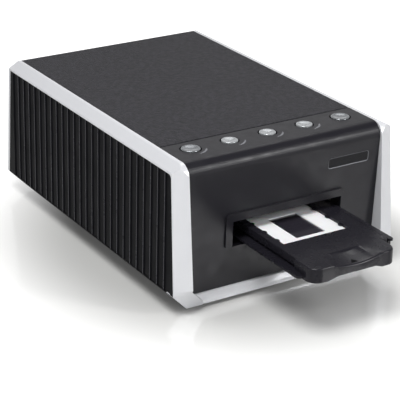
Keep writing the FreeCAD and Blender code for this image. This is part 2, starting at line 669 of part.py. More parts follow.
def side_frame(label, side):
    """Silver frame of one side: top bar, front bar with its toe, thin rear bar, inner ledge."""
    beyond = "half_width + 10"
    sign = "" if side > 0 else "-"
    band = box(label + "_band", "band_inner", beyond, "front_y - 5", "rear_y + 5",
               "bevel_top", "body_height + 5", side)
    bars = common(label + "_bars", shell, band)
    toe_high = "(foot_height + sill_face + toe_rise)"
    toe_block = prism(label + "_toe_block", "XZ", "-(front_y + toe_depth)", "toe_depth + 5", [
        (f"{sign}({beyond})", toe_high), (f"{sign}(band_inner)", toe_high),
        (f"{sign}(band_inner - toe_width)", "foot_height + sill_face"),
        (f"{sign}(band_inner - toe_width)", "foot_height - 1"),
        (f"{sign}({beyond})", "foot_height - 1"),
    ])
    toe = common(label + "_toe", outer_form, toe_block)
    return_block = box(label + "_return_block", "band_inner", "band_inner + wall", "front_y - 5",
                       "front_y + panel_foot + cover", "foot_height + sill_face + toe_rise - 1",
                       "body_height - wall", side)
    return_wall = common(label + "_return", outer_round, return_block)
    ledge = box(label + "_ledge", "band_inner - ledge_width", "band_inner + 4",
                "strip_y + 4", "rear_y - rear_lean - 12",
                "body_height - wall - fit_gap - ledge_thick", "body_height - wall - fit_gap", side)
    ledge_root = box(label + "_ledge_root", "band_inner", "band_inner + wall",
                     "strip_y + 4", "rear_y - rear_lean - 12",
                     "body_height - wall - fit_gap - ledge_thick", "body_height - wall + 0.5", side)
    solid = fuse(label + "_solid", bars, toe, return_wall, ledge, ledge_root)
    start = "half_width - 9" if side > 0 else "-half_width - 9"
    window = window_prism(label + "_window", start, "18", "0")
    return piece(label, cut(label + "_cut", solid, window))


def ribbed_panel(label, side):
    """Black side panel: upright narrow ridges between flats, leaning with the side."""
    start = "half_width - rib_panel_thick" if side > 0 else "-half_width"
    sign = "" if side > 0 else "-"
    body = window_prism(label + "_body", start, "rib_panel_thick", "fit_gap")
    middle = "(front_y + first_flute)"
    flat = f"{sign}(half_width - flute_depth)"
    face = f"{sign}(half_width + over)"
    top_half = "(flute_width / 2 + ridge_foot * over / flute_depth)"
    low_half = "(flute_width / 2 - ridge_foot)"
    pocket = pocket_outline(body, "XY", "bevel_top", [
        (flat, f"{middle} - {low_half}"), (flat, f"{middle} + {low_half}"),
        (face, f"{middle} + {top_half}"), (face, f"{middle} - {top_half}"),
    ])
    span = dims.get("body_depth") - dims.get("first_flute") - dims.get("rear_lean")
    count = int(span / dims.get("rib_pitch"))
    rows = body.newObject("PartDesign::LinearPattern", label + "_rows")
    rows.Originals = [pocket]
    rows.Direction = (pocket.Profile[0], ["V_Axis"])
    rows.Occurrences = count
    bind(rows, "Length", f"rib_pitch * {count - 1}")
    body.Tip = rows
    pivot = Vector(side * dims.get("body_width") / 2, 0, dims.get("foot_height") + dims.get("bevel_height"))
    rise = dims.get("body_height") - dims.get("top_bevel_drop") - pivot.z
    lean = Rotation(Vector(0, 1, 0), -side * math.degrees(math.atan(dims.get("side_lean") / rise)))
    body.Placement = Placement(Vector(), lean, pivot)
    return piece(label, body)


def toe_corner(name, start, length, low, sign):
    """Block beyond the toe's slanting inner edge, with a gap to the toe."""
    inner = "(band_inner - 1.5 * fit_gap)"
    toe_low = "(foot_height + sill_face)"
    return prism(name, "XZ", start, length, [
        (f"{sign}({inner} - toe_width)", low),
        (f"{sign}({inner} - toe_width)", toe_low),
        (f"{sign}{inner}", f"{toe_low} + toe_rise"),
        (f"{sign}({inner} + over)", f"{toe_low} + toe_rise"),
        (f"{sign}({inner} + over)", low),
    ])


def front_sill():
    """Silver strip that joins the two toes under the front panel."""
    half = "(band_inner - fit_gap)"
    strip = prism("front_sill_body", "YZ", f"-{half}", f"2 * {half}", [
        ("front_y + chin_setback", "foot_height"),
        ("front_y + chin_setback", "foot_height + sill_face"),
        ("front_y + chin_setback + sill_bevel_run", "sill_top"),
        ("front_y + toe_depth", "sill_top"),
        ("front_y + toe_depth", "foot_height"),
    ])
    ends = [toe_corner(f"sill_end_{index}", "-(front_y + toe_depth + over)", "toe_depth + 2 * over",
                       "foot_height - over", sign) for index, sign in enumerate(("", "-"))]
    return piece("front_sill", cut("front_sill_shape", strip, *ends))


side_frame("side_frame_right", 1)
side_frame("side_frame_left", -1)
ribbed_panel("ribbed_panel_right", 1)
ribbed_panel("ribbed_panel_left", -1)
front_sill()


# ---------------------------------------------------------------- black covers

def top_panel():
    """Grained top cover behind the button strip."""
    reach = "(band_inner - fit_gap)"
    slab = box("top_slab", f"-{reach}", reach, "strip_y + joint_gap", "rear_y + 5",
               "body_height - wall", "body_height + 5")
    return piece("top_panel", common("top_panel_shape", shell, slab))


def front_cover():
    """Front panel and button strip in one bent cover, with slot, badge pocket and key holes."""
    half = "(band_inner - fit_gap)"
    foot = "(sill_top + fit_gap)"
    body = prism("front_cover_body", "YZ", f"-{half}", f"2 * {half}", [
        (f"front_y + {panel_back(foot)}", foot),
        (f"front_y + {panel_back('body_height')}", "body_height"),
        ("strip_y", "body_height"),
        ("strip_y", "body_height - cover"),
        (f"front_y + {panel_back('body_height - cover')} + cover", "body_height - cover"),
        (f"front_y + {panel_back(foot)} + cover", foot),
    ])
    corner_y = front_y() + dims.get("ridge_lean") + dims.get("panel_step")

    def outer_corner(edge):
        middle = edge.CenterOfMass
        high = middle.z > dims.get("body_height") - 0.01
        return runs_along(edge, X_AXIS) and high and abs(middle.y - corner_y) < 0.01

    def inner_corner(edge):
        middle = edge.CenterOfMass
        level = abs(middle.z - dims.get("body_height") + dims.get("cover")) < 0.01
        return runs_along(edge, X_AXIS) and level and middle.y < corner_y + 3 * dims.get("cover")

    round_edges(body, "corner_radius", outer_corner)
    round_edges(body, "corner_radius - cover", inner_corner)

    rim = prism("slot_rim", "YZ", "rim_left", "rim_right - rim_left", [
        (f"front_y + {panel_back('rim_low')} - rim_rise", "rim_low"),
        (f"front_y + {panel_back('rim_high')} - rim_rise", "rim_high"),
        (f"front_y + {panel_back('rim_high')} + bond", "rim_high"),
        (f"front_y + {panel_back('rim_low')} + bond", "rim_low"),
    ])
    round_edges(rim, "rim_radius", lambda edge: runs_across(edge))
    slot = box("slot_hole", "slot_left", "slot_right", "front_y - over", "front_y + liner_end",
               "slot_low", "slot_high")
    badge = prism("badge_pocket", "YZ", "badge_x - badge_width / 2", "badge_width", [
        (f"front_y + {panel_back('badge_z')} - over", "badge_z - badge_height / 2"),
        (f"front_y + {panel_back('badge_z')} - over", "badge_z + badge_height / 2"),
        (f"front_y + {panel_back('badge_z + badge_height / 2')} + badge_sink",
         "badge_z + badge_height / 2"),
        (f"front_y + {panel_back('badge_z - badge_height / 2')} + badge_sink",
         "badge_z - badge_height / 2"),
    ])
    round_edges(badge, "badge_height / 4", lambda edge: runs_across(edge))
    holes = [cylinder(f"key_hole_{number}", f"{number - 3} * key_pitch", "front_y + key_depth",
                      "body_height - 2 * cover", f"{key_radius(number)} + key_gap", "4 * cover")
             for number in KEY_NUMBERS]
    corners = [toe_corner(f"cover_corner_{index}", "-(front_y + toe_depth + 2 * over)",
                          "toe_depth + 3 * over", "foot_height", sign)
               for index, sign in enumerate(("", "-"))]
    bosses = [cylinder(f"cover_boss_{index}", x, "front_y + key_depth", "key_board_top",
                       "boss_radius", "key_board_drop - cover + bond")
              for index, x in enumerate(("-1.5 * key_pitch", "1.5 * key_pitch"))]
    moulded = fuse("front_cover_moulded", body, rim, *bosses)
    return piece("front_cover", cut("front_cover_shape", moulded, slot, badge, *holes, *corners))


def runs_across(edge):
    """True for a straight edge that runs mostly front to back."""
    return isinstance(edge.Curve, Part.Line) and abs(edge.Curve.Direction.y) > 0.99


KEY_NUMBERS = range(1, 6)


def key_radius(number):
    """The two end keys are larger than the three between them."""
    return "end_key_radius" if number in (1, 5) else "key_radius"


def badge_plate():
    """Bare plate in the badge pocket."""
    low = "(badge_z - badge_height / 2 + seat_gap)"
    high = "(badge_z + badge_height / 2 - seat_gap)"
    plate = prism("badge_plate_body", "YZ", "badge_x - badge_width / 2 + seat_gap",
                  "badge_width - 2 * seat_gap", [
        (f"front_y + {panel_back(low)} + badge_gap", low), (f"front_y + {panel_back(high)} + badge_gap", high),
        (f"front_y + {panel_back(high)} + badge_sink", high),
        (f"front_y + {panel_back(low)} + badge_sink", low),
    ])
    round_edges(plate, "badge_height / 4 - seat_gap", lambda edge: runs_across(edge))
    return piece("badge_plate", plate)


def slot_liner():
    """Tunnel behind the slot that leads the holder into its guides."""
    front_low = f"front_y + {panel_back('slot_low - liner_wall')} + cover + seat_gap"
    front_high = f"front_y + {panel_back('slot_high + liner_wall')} + cover + seat_gap"
    tube = prism("liner_block", "YZ", "slot_left - liner_wall",
                 "slot_right - slot_left + 2 * liner_wall", [
        (front_low, "slot_low - liner_wall"), (front_high, "slot_high + liner_wall"),
        ("front_y + liner_end", "slot_high + liner_wall"),
        ("front_y + liner_end", "slot_low - liner_wall"),
    ])
    hole = box("liner_hole", "slot_left", "slot_right", "front_y", "front_y + liner_end + over",
               "slot_low", "slot_high")
    return piece("slot_liner", cut("slot_liner_shape", tube, hole))


def rear_panel():
    """Rear wall with the openings for the sockets and a row of vents."""
    reach = "(band_inner - fit_gap)"
    low_y = "rear_y - rear_depth"
    high_y = "rear_y + over"
    slab = box("rear_slab", f"-{reach}", reach, low_y, high_y, "bevel_top + fit_gap",
               "body_height - wall - fit_gap")
    plate = common("rear_plate", shell, slab)
    tail = box("rear_inside", "-body_width", "body_width", "rear_y - 3 * rear_depth",
               "rear_y - rear_lean - wall - rear_clear", "-over", "2 * body_height")
    usb = box("usb_opening", "board_face - socket_play", "board_face + usb_width + socket_play",
              low_y, high_y, "usb_z - usb_height / 2 - socket_play", "usb_z + usb_height / 2 + socket_play")
    power = cylinder("power_opening", "board_face + inlet_size / 2", low_y, "power_z",
                     "nose_radius + socket_play", "rear_depth + over", "y")
    vents = [box(f"vent_{index}", f"vent_first + {index} * vent_pitch",
                 f"vent_first + {index} * vent_pitch + vent_width", low_y, high_y, "vent_low", "vent_high")
             for index in VENT_NUMBERS]
    return piece("rear_panel", cut("rear_panel_shape", plate, tail, usb, power, *vents))


def base_pan():
    """Black floor with bevelled sides, foot seats and ribs that carry the main board."""
    slab = box("base_slab", "-body_width", "body_width", "front_y + toe_depth + fit_gap", "rear_y + over",
               "0", "bevel_top - fit_gap")
    pan = common("base_shell", shell, slab)
    ribs = []
    for index in range(3):
        low_y = f"board_y + {index} * clip_step + part_unit"
        ribs.append(box(f"board_rib_{index}", "board_x - board_clip", "board_face + board_clip",
                        low_y, f"{low_y} + board_clip", "floor_top - bond", "board_low + board_clip"))
    seats = [cylinder(f"foot_seat_{index}", x, y, "foot_height - over", "foot_radius + seat_gap",
                      "foot_sink + over") for index, (x, y) in enumerate(foot_places())]
    for index, (x, y) in enumerate(screw_places()):
        seats.append(cylinder(f"screw_seat_{index}", x, y, "foot_height - over", "head_radius + seat_gap",
                              "over + fit_gap + head_thick"))
        seats.append(cylinder(f"screw_bore_{index}", x, y, "foot_height - over",
                              "screw_radius + shaft_play", "2 * over"))
    slots = box("board_slot", "board_x - slot_play", "board_face + slot_play", "board_y - over",
                "rear_y", "board_low", "board_low + over")
    return piece("base_pan", cut("base_pan_shape", fuse("base_ribbed", pan, *ribs), slots, *seats))


def foot_places():
    """Centres of the four feet."""
    return [(f"{sign}foot_x", y) for y in ("front_y + foot_front", "rear_y - foot_back")
            for sign in ("-", "")]


def screw_places():
    """Centres of the four screws that hold the bench from below."""
    return [(f"slide_x {side} screw_side", f"front_y + {depth}") for depth in ("screw_front", "screw_rear")
            for side in ("-", "+")]


def rubber_feet():
    """Four glued rubber feet with a rounded rim."""
    names = ("foot_front_left", "foot_front_right", "foot_rear_left", "foot_rear_right")
    for name, (x, y) in zip(names, foot_places()):
        disc = cylinder(name + "_disc", x, y, "0", "foot_radius", "foot_height + foot_sink")
        rim = doc.addObject("Part::Chamfer", name + "_rim")
        rim.Base = disc
        doc.recompute()
        lowest = [index for index, edge in enumerate(disc.Shape.Edges, start=1)
                  if edge.BoundBox.ZMax < 0.01 and edge.BoundBox.XLength > 1]
        rim.Edges = [(index, dims.get("foot_rim"), dims.get("foot_rim")) for index in lowest]
        piece(name, rim)


top_panel()
front_cover()
badge_plate()
slot_liner()
rear_panel()
base_pan()
rubber_feet()


# ---------------------------------------------------------------- keys and their board

def front_key(number):
    """Round dished key with a keeping flange and a stem over its switch."""
    name = f"key_{number}"
    x = f"{number - 3} * key_pitch"
    y = "front_y + key_depth"
    radius = key_radius(number)
    flange_top = "(body_height - cover - key_float)"
    cap = cylinder(name + "_cap", x, y, flange_top, radius, f"body_height + key_proud - {flange_top}")
    flange = cylinder(name + "_flange", x, y, f"{flange_top} - key_flange_thick",
                      f"{radius} + key_flange", "key_flange_thick")
    stem_low = "(key_board_top + switch_height + plunger_height + switch_gap)"
    stem = cylinder(name + "_stem", x, y, stem_low, "key_stem_radius", f"{flange_top} - {stem_low}")
    ball_radius = f"(((dish_share * {radius}) ^ 2 + key_dish ^ 2) / (2 * key_dish))"
    ball = doc.addObject("Part::Sphere", name + "_ball")
    bind(ball, "Radius", ball_radius)
    bind(ball, "Placement.Base.x", x)
    bind(ball, "Placement.Base.y", y)
    bind(ball, "Placement.Base.z", f"body_height + key_proud - key_dish + {ball_radius}")
    return piece(name, cut(name + "_shape", fuse(name + "_solid", cap, flange, stem), ball))


def key_board():
    """Circuit board under the keys, hung from two bosses of the cover."""
    reach = "(2 * key_pitch + key_board_end)"
    return piece("key_board", box("key_board_plate", f"-{reach}", reach,
                                  "front_y + key_depth - key_board_half", "front_y + key_depth + key_board_half",
                                  "key_board_top - board - slot_play", "key_board_top - slot_play"))


def key_switches():
    """Five push switches on the key board."""
    solids = []
    for number in KEY_NUMBERS:
        x = f"({number - 3} * key_pitch)"
        y = "(front_y + key_depth)"
        case = box(f"switch_case_{number}", f"{x} - switch_size / 2", f"{x} + switch_size / 2",
                   f"{y} - switch_size / 2", f"{y} + switch_size / 2",
                   "key_board_top", "key_board_top + switch_height")
        plunger = cylinder(f"switch_plunger_{number}", x, y, "key_board_top + switch_height",
                           "plunger_radius", "plunger_height")
        solids.append(fuse(f"switch_{number}", case, plunger))
    return piece("key_switches", group("key_switch_group", *solids))


for key_number in KEY_NUMBERS:
    front_key(key_number)
key_board()
key_switches()


# ---------------------------------------------------------------- film holder

SLIDE_NUMBERS = range(4)


def slide_middle(number):
    """Distance-wise middle of a slide pocket."""
    return f"(picture_y + {number} * slide_pitch)"


def thumb_tray():
    """Tool for the thumb dish: a tray with a floor bowed from side to side, tilted down to the front."""
    front = "-(thumb_run + over)"
    tray = prism("thumb_tray", "XY", "0", "thumb_depth + 3", [
        ("thumb_left", front), ("thumb_right", front), ("thumb_right", "0"), ("thumb_left", "0"),
    ])
    round_edges(tray, "thumb_corner",
                lambda edge: runs_along(edge, Z_AXIS) and abs(edge.CenterOfMass.y) < 0.01)
    first = tray.Shape.BoundBox.YMin
    round_edges(tray, "thumb_round",
                lambda edge: edge.BoundBox.ZMax < 0.01 and edge.CenterOfMass.y > first + 0.01)
    bow = cylinder("thumb_bow", "(thumb_left + thumb_right) / 2", front, "thumb_bow", "thumb_bow",
                   "thumb_run + 2 * over", "y")
    dish = common("thumb_dish", tray, bow)
    fall = dims.get("thumb_depth") - dims.get("thumb_start")
    tilt = math.degrees(math.atan(fall / dims.get("thumb_run")))
    dish.Placement = Placement(Vector(), Rotation(X_AXIS, tilt))
    bind(dish, "Placement.Base.y", "grip_y + thumb_run")
    bind(dish, "Placement.Base.z", "holder_top - thumb_start")
    return dish


def holder_grip():
    """Thick front of the holder: rounded corners, thumb dish above, arch below."""
    block = prism("grip_block", "XY", "grip_low", "holder_top - grip_low", [
        ("grip_left", "grip_y"), ("grip_right", "grip_y"),
        ("grip_right", "grip_y + grip_depth"), ("grip_left", "grip_y + grip_depth"),
    ])
    middle_y = block.Shape.BoundBox.Center.y
    round_edges(block, "grip_corner",
                lambda edge: runs_along(edge, Z_AXIS) and edge.CenterOfMass.y < middle_y)
    top = block.Shape.BoundBox.ZMax
    rear = block.Shape.BoundBox.YMax
    tip = block.Tip
    names = [f"Edge{index}" for index, edge in enumerate(tip.Shape.Edges, start=1)
             if edge.BoundBox.ZMin > top - 0.01 and edge.CenterOfMass.y < rear - 0.01]
    softened = block.newObject("PartDesign::Fillet", "grip_block_edge")
    softened.Base = (tip, names)
    bind(softened, "Radius", "grip_edge")
    doc.recompute()
    arch = prism("grip_arch_cut", "XZ", "-(grip_y + grip_depth)", "grip_depth + over", [
        ("arch_left", "grip_low - over"),
        ("arch_left", "grip_low"),
        ("arch_left + arch_run_left", "grip_low + grip_arch"),
        ("arch_right - arch_run_right", "grip_low + grip_arch"),
        ("arch_right", "grip_low"),
        ("arch_right", "grip_low - over"),
    ])
    return cut("grip_shape", block, thumb_tray(), arch)


def holder_body():
    """Film holder: tray with four slide pockets, guide flange on the left, grip at the front."""
    tray_start = "grip_y + grip_depth - bond"
    tray = box("tray_block", "body_left", "body_right", tray_start, "grip_y + holder_length",
               "holder_low", "holder_top")
    flange = box("tray_flange", "holder_left", "body_left + bond", "grip_y + flange_start + flange_tip",
                 "grip_y + holder_length", "holder_low", "flange_top")
    tip = cylinder("flange_end", "holder_left + flange_tip", "grip_y + flange_start + flange_tip",
                   "holder_low", "flange_tip", "flange_thick")
    root = box("flange_root", "holder_left + flange_tip", "body_left + bond",
               "grip_y + flange_start + flange_tip - bond", "grip_y + grip_depth", "holder_low", "flange_top")
    shoulder = box("tray_shoulder", "grip_right - bond", "body_right", "grip_y + rail_end + fit_gap",
                   "grip_y + grip_depth", "holder_low", "holder_top")
    solid = fuse("holder_solid", tray, holder_grip(), flange, tip, root, shoulder)
    groove = box("side_groove", "body_left - over", "body_left + groove_depth", "grip_y + grip_depth",
                 "grip_y + holder_length + over", "flange_top", "groove_top")
    cuts = [groove]
    for number in SLIDE_NUMBERS:
        middle = slide_middle(number)
        half = "(slide_size / 2 + pocket_gap)"
        front = f"{middle} - {half}" if number else f"{middle} - {half} + lip_reach"
        cuts.append(box(f"pocket_{number}", f"slide_x - {half}", f"slide_x + {half}",
                        front, f"{middle} + {half}", "slide_low", "holder_top + over"))
        cuts.append(box(f"picture_{number}", "slide_x - film_width / 2 - window_extra",
                        "slide_x + film_width / 2 + window_extra",
                        f"{middle} - film_length / 2 - window_extra",
                        f"{middle} + film_length / 2 + window_extra",
                        "holder_low - over", "slide_low + bond"))
    first = slide_middle(0)
    cuts.append(box("pocket_lip", "slide_x - slide_size / 2 - pocket_gap",
                    "slide_x + slide_size / 2 + pocket_gap",
                    f"{first} - slide_size / 2 - pocket_gap", f"{first}",
                    "slide_low", "slide_top + clip_gap"))
    clips = []
    for number in SLIDE_NUMBERS:
        for side in ("-", "+"):
            for step in (-1, 0, 1):
                name = f"clip_{number}_{'left' if side == '-' else 'right'}_{step + 1}"
                edge = f"slide_x {side} (slide_size / 2 + pocket_gap + clip_radius * 0.25)"
                clips.append(cylinder(name, edge, f"{slide_middle(number)} + {step} * clip_spread",
                                      "slide_top + clip_gap", "clip_radius", "clip_thick"))
    emptied = cut("holder_emptied", solid, *cuts)
    return piece("holder_body", fuse("holder_shape", emptied, *clips))


def holder_rack():
    """Toothed strip along the holder's right side, open towards the pinion."""
    rack_start = "grip_y + rail_end"
    strip = prism("rack_body", "XZ", f"-({rack_start})", "1", [
        ("body_right", "holder_low"), ("holder_right", "holder_low"),
        ("holder_right", "holder_top - rack_step"), ("rack_x", "holder_top - rack_step"),
        ("rack_x", "rack_base"), ("body_right", "rack_base"),
    ])
    strip.Tip.Reversed = True
    bind(strip.Tip, "Length", "holder_length - rail_end")
    doc.recompute()
    channel = box("rack_channel", "holder_right - 1.8 * gear_module", "holder_right + over",
                  f"{rack_start} - over", "grip_y + holder_length + over", "rack_base", "rack_cap")
    toothed = cut("rack_channelled", strip, channel)
    pitch = "(gear_module * pi)"
    slope = "tan(pressure_angle)"
    root_half = f"({pitch} / 4 - tooth_slack / 2 + 1.0 * gear_module * {slope})"
    tip_half = f"({pitch} / 4 - tooth_slack / 2 - 0.8 * gear_module * {slope})"
    root_x = "holder_right - 1.8 * gear_module - bond"
    tip_x = "holder_right - 0.2 * gear_module"
    lead = dims.get("drive_depth") + dims.get("holder_out") - dims.get("rail_end")
    step = dims.get("gear_module") * math.pi
    before = int(lead / step) - 5
    behind = int((dims.get("holder_length") - lead - dims.get("rail_end")) / step) - 1
    first = f"(drive_y - ({before} - 0.5) * {pitch})"
    tooth = prism("rack_tooth", "XY", "rack_base - rack_step", "rack_cap - rack_base + 2 * rack_step", [
        (root_x, f"{first} - {root_half}"), (tip_x, f"{first} - {tip_half}"),
        (tip_x, f"{first} + {tip_half}"), (root_x, f"{first} + {root_half}"),
    ])
    rows = tooth.newObject("PartDesign::LinearPattern", "rack_teeth")
    rows.Originals = [tooth.Tip]
    rows.Direction = (tooth.Tip.Profile[0], ["V_Axis"])
    rows.Occurrences = before + behind
    bind(rows, "Length", f"{pitch} * {before + behind - 1}")
    tooth.Tip = rows
    doc.recompute()
    nub = cylinder("rack_nub", "(rack_x + holder_right) / 2", rack_start, "rack_cap",
                   "(holder_right - rack_x) / 2", "holder_top - rack_step - rack_cap")
    return piece("holder_rack", fuse("holder_rack_shape", toothed, tooth, nub))


def slide_mount():
    """White slide mount in the first pocket, with its picture window."""
    half = "slide_size / 2"
    mount = prism("slide_body", "XY", "slide_low", "slide_thick", [
        (f"slide_x - {half}", f"picture_y - {half}"), (f"slide_x + {half}", f"picture_y - {half}"),
        (f"slide_x + {half}", f"picture_y + {half}"), (f"slide_x - {half}", f"picture_y + {half}"),
    ])
    round_edges(mount, "2", lambda edge: runs_along(edge, Z_AXIS))
    window = box("slide_window", "slide_x - film_width / 2", "slide_x + film_width / 2",
                 "picture_y - film_length / 2", "picture_y + film_length / 2",
                 "slide_low - 1", "slide_top + 1")
    seat = film_block("film_seat", "0.1", "0.05")
    return piece("slide_mount", cut("slide_mount_shape", mount, window, seat))


def film_block(name, side_gap, face_gap):
    """The film chip's block, larger by a gap."""
    middle = "(slide_low + slide_thick / 2)"
    return box(name, f"slide_x - film_width / 2 - 2 - {side_gap}", f"slide_x + film_width / 2 + 2 + {side_gap}",
               f"picture_y - film_length / 2 - 2 - {side_gap}",
               f"picture_y + film_length / 2 + 2 + {side_gap}",
               f"{middle} - film_thick / 2 - {face_gap}", f"{middle} + film_thick / 2 + {face_gap}")


holder_body()
holder_rack()
slide_mount()
piece("slide_film", film_block("film_chip", "0", "0"))


# ---------------------------------------------------------------- guides and drive

def guide_left():
    """Wall on the base with a channel for the holder's flange."""
    outer = "(holder_left - guide_play)"
    front = "front_y + guide_front"
    rear = "rear_y - guide_back"
    lip_low = "flange_top + guide_play"
    wall = box("guide_left_wall", f"{outer} - guide_wall", outer, front, rear,
               "floor_top", f"{lip_low} + guide_lip")
    lower = box("guide_left_lower", f"{outer} - bond", "body_left - guide_grip", front, rear,
                "holder_low - guide_play - guide_wall", "holder_low - guide_play")
    upper = box("guide_left_upper", f"{outer} - bond", "body_left - guide_grip - bond", front, rear,
                lip_low, f"{lip_low} + guide_lip")
    foot = box("guide_left_foot", f"{outer} - guide_wall - guide_foot", f"{outer} - guide_wall + bond",
               front, rear, "floor_top", "floor_top + foot_plate")
    return piece("guide_left", fuse("guide_left_shape", wall, lower, upper, foot))


def guide_right():
    """Wall on the base with a ledge under the rack side of the holder."""
    inner = "(holder_right + guide_play)"
    front = "front_y + guide_front"
    rear = "rear_y - guide_back"
    wall = box("guide_right_wall", inner, f"{inner} + guide_wall", front, rear, "floor_top", "rack_base")
    ledge = box("guide_right_ledge", "body_right - ledge_reach", f"{inner} + bond", front, rear,
                "holder_low - guide_play - guide_wall", "holder_low - guide_play")
    foot = box("guide_right_foot", f"{inner} + guide_wall - bond", f"{inner} + guide_wall + guide_foot",
               "drive_y + guide_skip", rear, "floor_top", "floor_top + foot_plate")
    return piece("guide_right", fuse("guide_right_shape", wall, ledge, foot))


def involute_point(base, radius):
    """Polar angle of an involute that starts on a base circle, at a radius."""
    unwound = math.sqrt(max(radius / base, 1.0) ** 2 - 1.0)
    return unwound - math.atan(unwound)


def gear_outline(name, teeth, turn):
    """Flat outline of an involute gear round the origin; one tooth points along the turn angle."""
    module = dims.get("gear_module")
    pressure = math.radians(dims.get("pressure_angle"))
    pitch = module * teeth / 2
    base = pitch * math.cos(pressure)
    tip = pitch + 0.8 * module
    root = pitch - 1.1 * module
    half_tooth = (math.pi * module / 2 - dims.get("tooth_slack")) / (2 * pitch)
    start = max(base, root)
    steps = 6
    radii = [start + (tip - start) * step / steps for step in range(steps + 1)]
    flank = [(radius, half_tooth + involute_point(base, pitch) - involute_point(base, radius))
             for radius in radii]
    if base > root:
        flank.insert(0, (root, flank[0][1] * 0.9))

    def spot(radius, angle):
        return Vector(radius * math.cos(angle), radius * math.sin(angle), 0)

    edges = []
    for index in range(teeth):
        middle = turn + 2 * math.pi * index / teeth
        rising = [spot(radius, middle - angle) for radius, angle in flank]
        falling = [spot(radius, middle + angle) for radius, angle in reversed(flank)]
        outline = rising + falling
        for first, second in zip(outline, outline[1:]):
            edges.append(Part.makeLine(first, second))
        following = spot(root, middle + 2 * math.pi / teeth - flank[0][1])
        edges.append(Part.makeLine(outline[-1], following))
    outline = doc.addObject("Part::Feature", name)
    outline.Shape = Part.Face(Part.Wire(edges))
    return outline


def gear(name, teeth, turn, x, y, low, thick):
    """A gear with its outline extruded upwards; an involute has no sketch primitive."""
    flat = gear_outline(name + "_outline", int(dims.get(teeth)), turn)
    wheel = doc.addObject("Part::Extrusion", name)
    wheel.Base = flat
    wheel.DirMode = "Custom"
    wheel.Dir = Z_AXIS
    wheel.Solid = True
    bind(wheel, "LengthFwd", thick)
    bind(wheel, "Placement.Base.x", x)
    bind(wheel, "Placement.Base.y", y)
    bind(wheel, "Placement.Base.z", low)
    return wheel


def drive_gear():
    """Pinion in the rack and reduction wheel above it, moulded in one."""
    turn = math.radians(dims.get("motor_angle"))
    pinion = gear("drive_pinion", "pinion_teeth", 0.0, "drive_x", "drive_y", "rack_low", "gear_thick")
    wheel = gear("drive_wheel", "wheel_teeth", turn, "drive_x", "drive_y", "wheel_low", "wheel_thick")
    hub = cylinder("drive_hub", "drive_x", "drive_y", "rack_low + gear_thick - bond", "hub_radius",
                   "wheel_low - rack_low - gear_thick + 2 * bond")
    collar = cylinder("drive_collar", "drive_x", "drive_y", "wheel_low + wheel_thick - bond",
                      "collar_radius", "plate_low - wheel_low - wheel_thick + bond - collar_gap")
    bore = cylinder("drive_bore", "drive_x", "drive_y", "rack_low - over", "pin_radius + shaft_play",
                    "plate_low - rack_low + 2 * over")
    solid = fuse("drive_gear_solid", pinion, wheel, hub, collar)
    return piece("drive_gear", cut("drive_gear_shape", solid, bore))


def gear_post():
    """Post on the base whose pin carries the drive gear."""
    post = cylinder("post_foot", "drive_x", "drive_y", "floor_top", "post_radius",
                    "rack_low - post_gap - floor_top")
    pin = cylinder("post_pin", "drive_x", "drive_y", "rack_low - bond", "pin_radius",
                   "plate_top - rack_low + bond")
    return piece("gear_post", fuse("gear_post_shape", post, pin))


def motor_pinion():
    """Small pinion with the motor's shaft."""
    teeth = dims.get("motor_teeth")
    turn = math.radians(dims.get("motor_angle")) + math.pi + math.pi / teeth
    pinion = gear("motor_gear", "motor_teeth", turn, "motor_x", "motor_y", "wheel_low", "wheel_thick")
    shaft = cylinder("motor_shaft_bar", "motor_x", "motor_y", "wheel_low", "motor_shaft",
                     "plate_top - wheel_low + shaft_reach")
    return piece("motor_pinion", fuse("motor_pinion_shape", pinion, shaft))


def feed_motor():
    """Stepper motor with its ears and plug, standing on the drive plate."""
    can = cylinder("motor_can", "motor_x", "motor_y", "plate_top", "motor_radius", "motor_height")
    ears = box("motor_ears", "motor_x - motor_radius - ear_reach", "motor_x + motor_radius + ear_reach",
               "motor_y - ear_half", "motor_y + ear_half", "plate_top", "plate_top + ear_thick")
    plug = box("motor_plug", "motor_x - plug_half", "motor_x + plug_half",
               "motor_y + motor_radius / 2", "motor_y + motor_radius + plug_reach",
               "plate_top + plug_low", "plate_top + motor_height - plug_drop")
    bore = cylinder("motor_bore", "motor_x", "motor_y", "plate_top - over", "motor_shaft + shaft_play",
                    "shaft_reach + 1.25 * over")
    return piece("feed_motor", cut("feed_motor_shape", fuse("motor_solid", can, ears, plug), bore))


def chassis_plate():
    """Steel bridge over the holder that carries the motor and the lamp."""
    front = "front_y + bridge_front"
    rear = "front_y + bridge_rear"
    leg_front = "front_y + leg_front"
    foot_top = "floor_top + plate_thick"
    plate = box("chassis_top", "bridge_left", "bridge_right", front, rear, "plate_low", "plate_top")
    left = box("chassis_left", "bridge_left", "bridge_left + plate_thick", front, rear,
               "floor_top", "plate_top")
    right = box("chassis_right", "bridge_right - plate_thick", "bridge_right", leg_front, rear,
                "floor_top", "plate_top")
    left_foot = box("chassis_left_foot", "bridge_left - leg_foot", "bridge_left + bond", front, rear,
                    "floor_top", foot_top)
    right_foot = box("chassis_right_foot", "bridge_right - plate_thick - leg_foot", "bridge_right - bond",
                     leg_front, rear, "floor_top", foot_top)
    solid = fuse("chassis_solid", plate, left, right, left_foot, right_foot)
    light = box("chassis_light", "slide_x - light_half", "slide_x + light_half", "station_y - light_run",
                "station_y + light_run", "plate_low - over", "plate_top + over")
    pin = cylinder("chassis_pin", "drive_x", "drive_y", "plate_low - over", "pin_radius + shaft_play",
                   "plate_thick + 2 * over")
    shaft = cylinder("chassis_shaft", "motor_x", "motor_y", "plate_low - over", "shaft_hole",
                     "plate_thick + 2 * over")
    return piece("chassis_plate", cut("chassis_plate_shape", solid, light, pin, shaft))


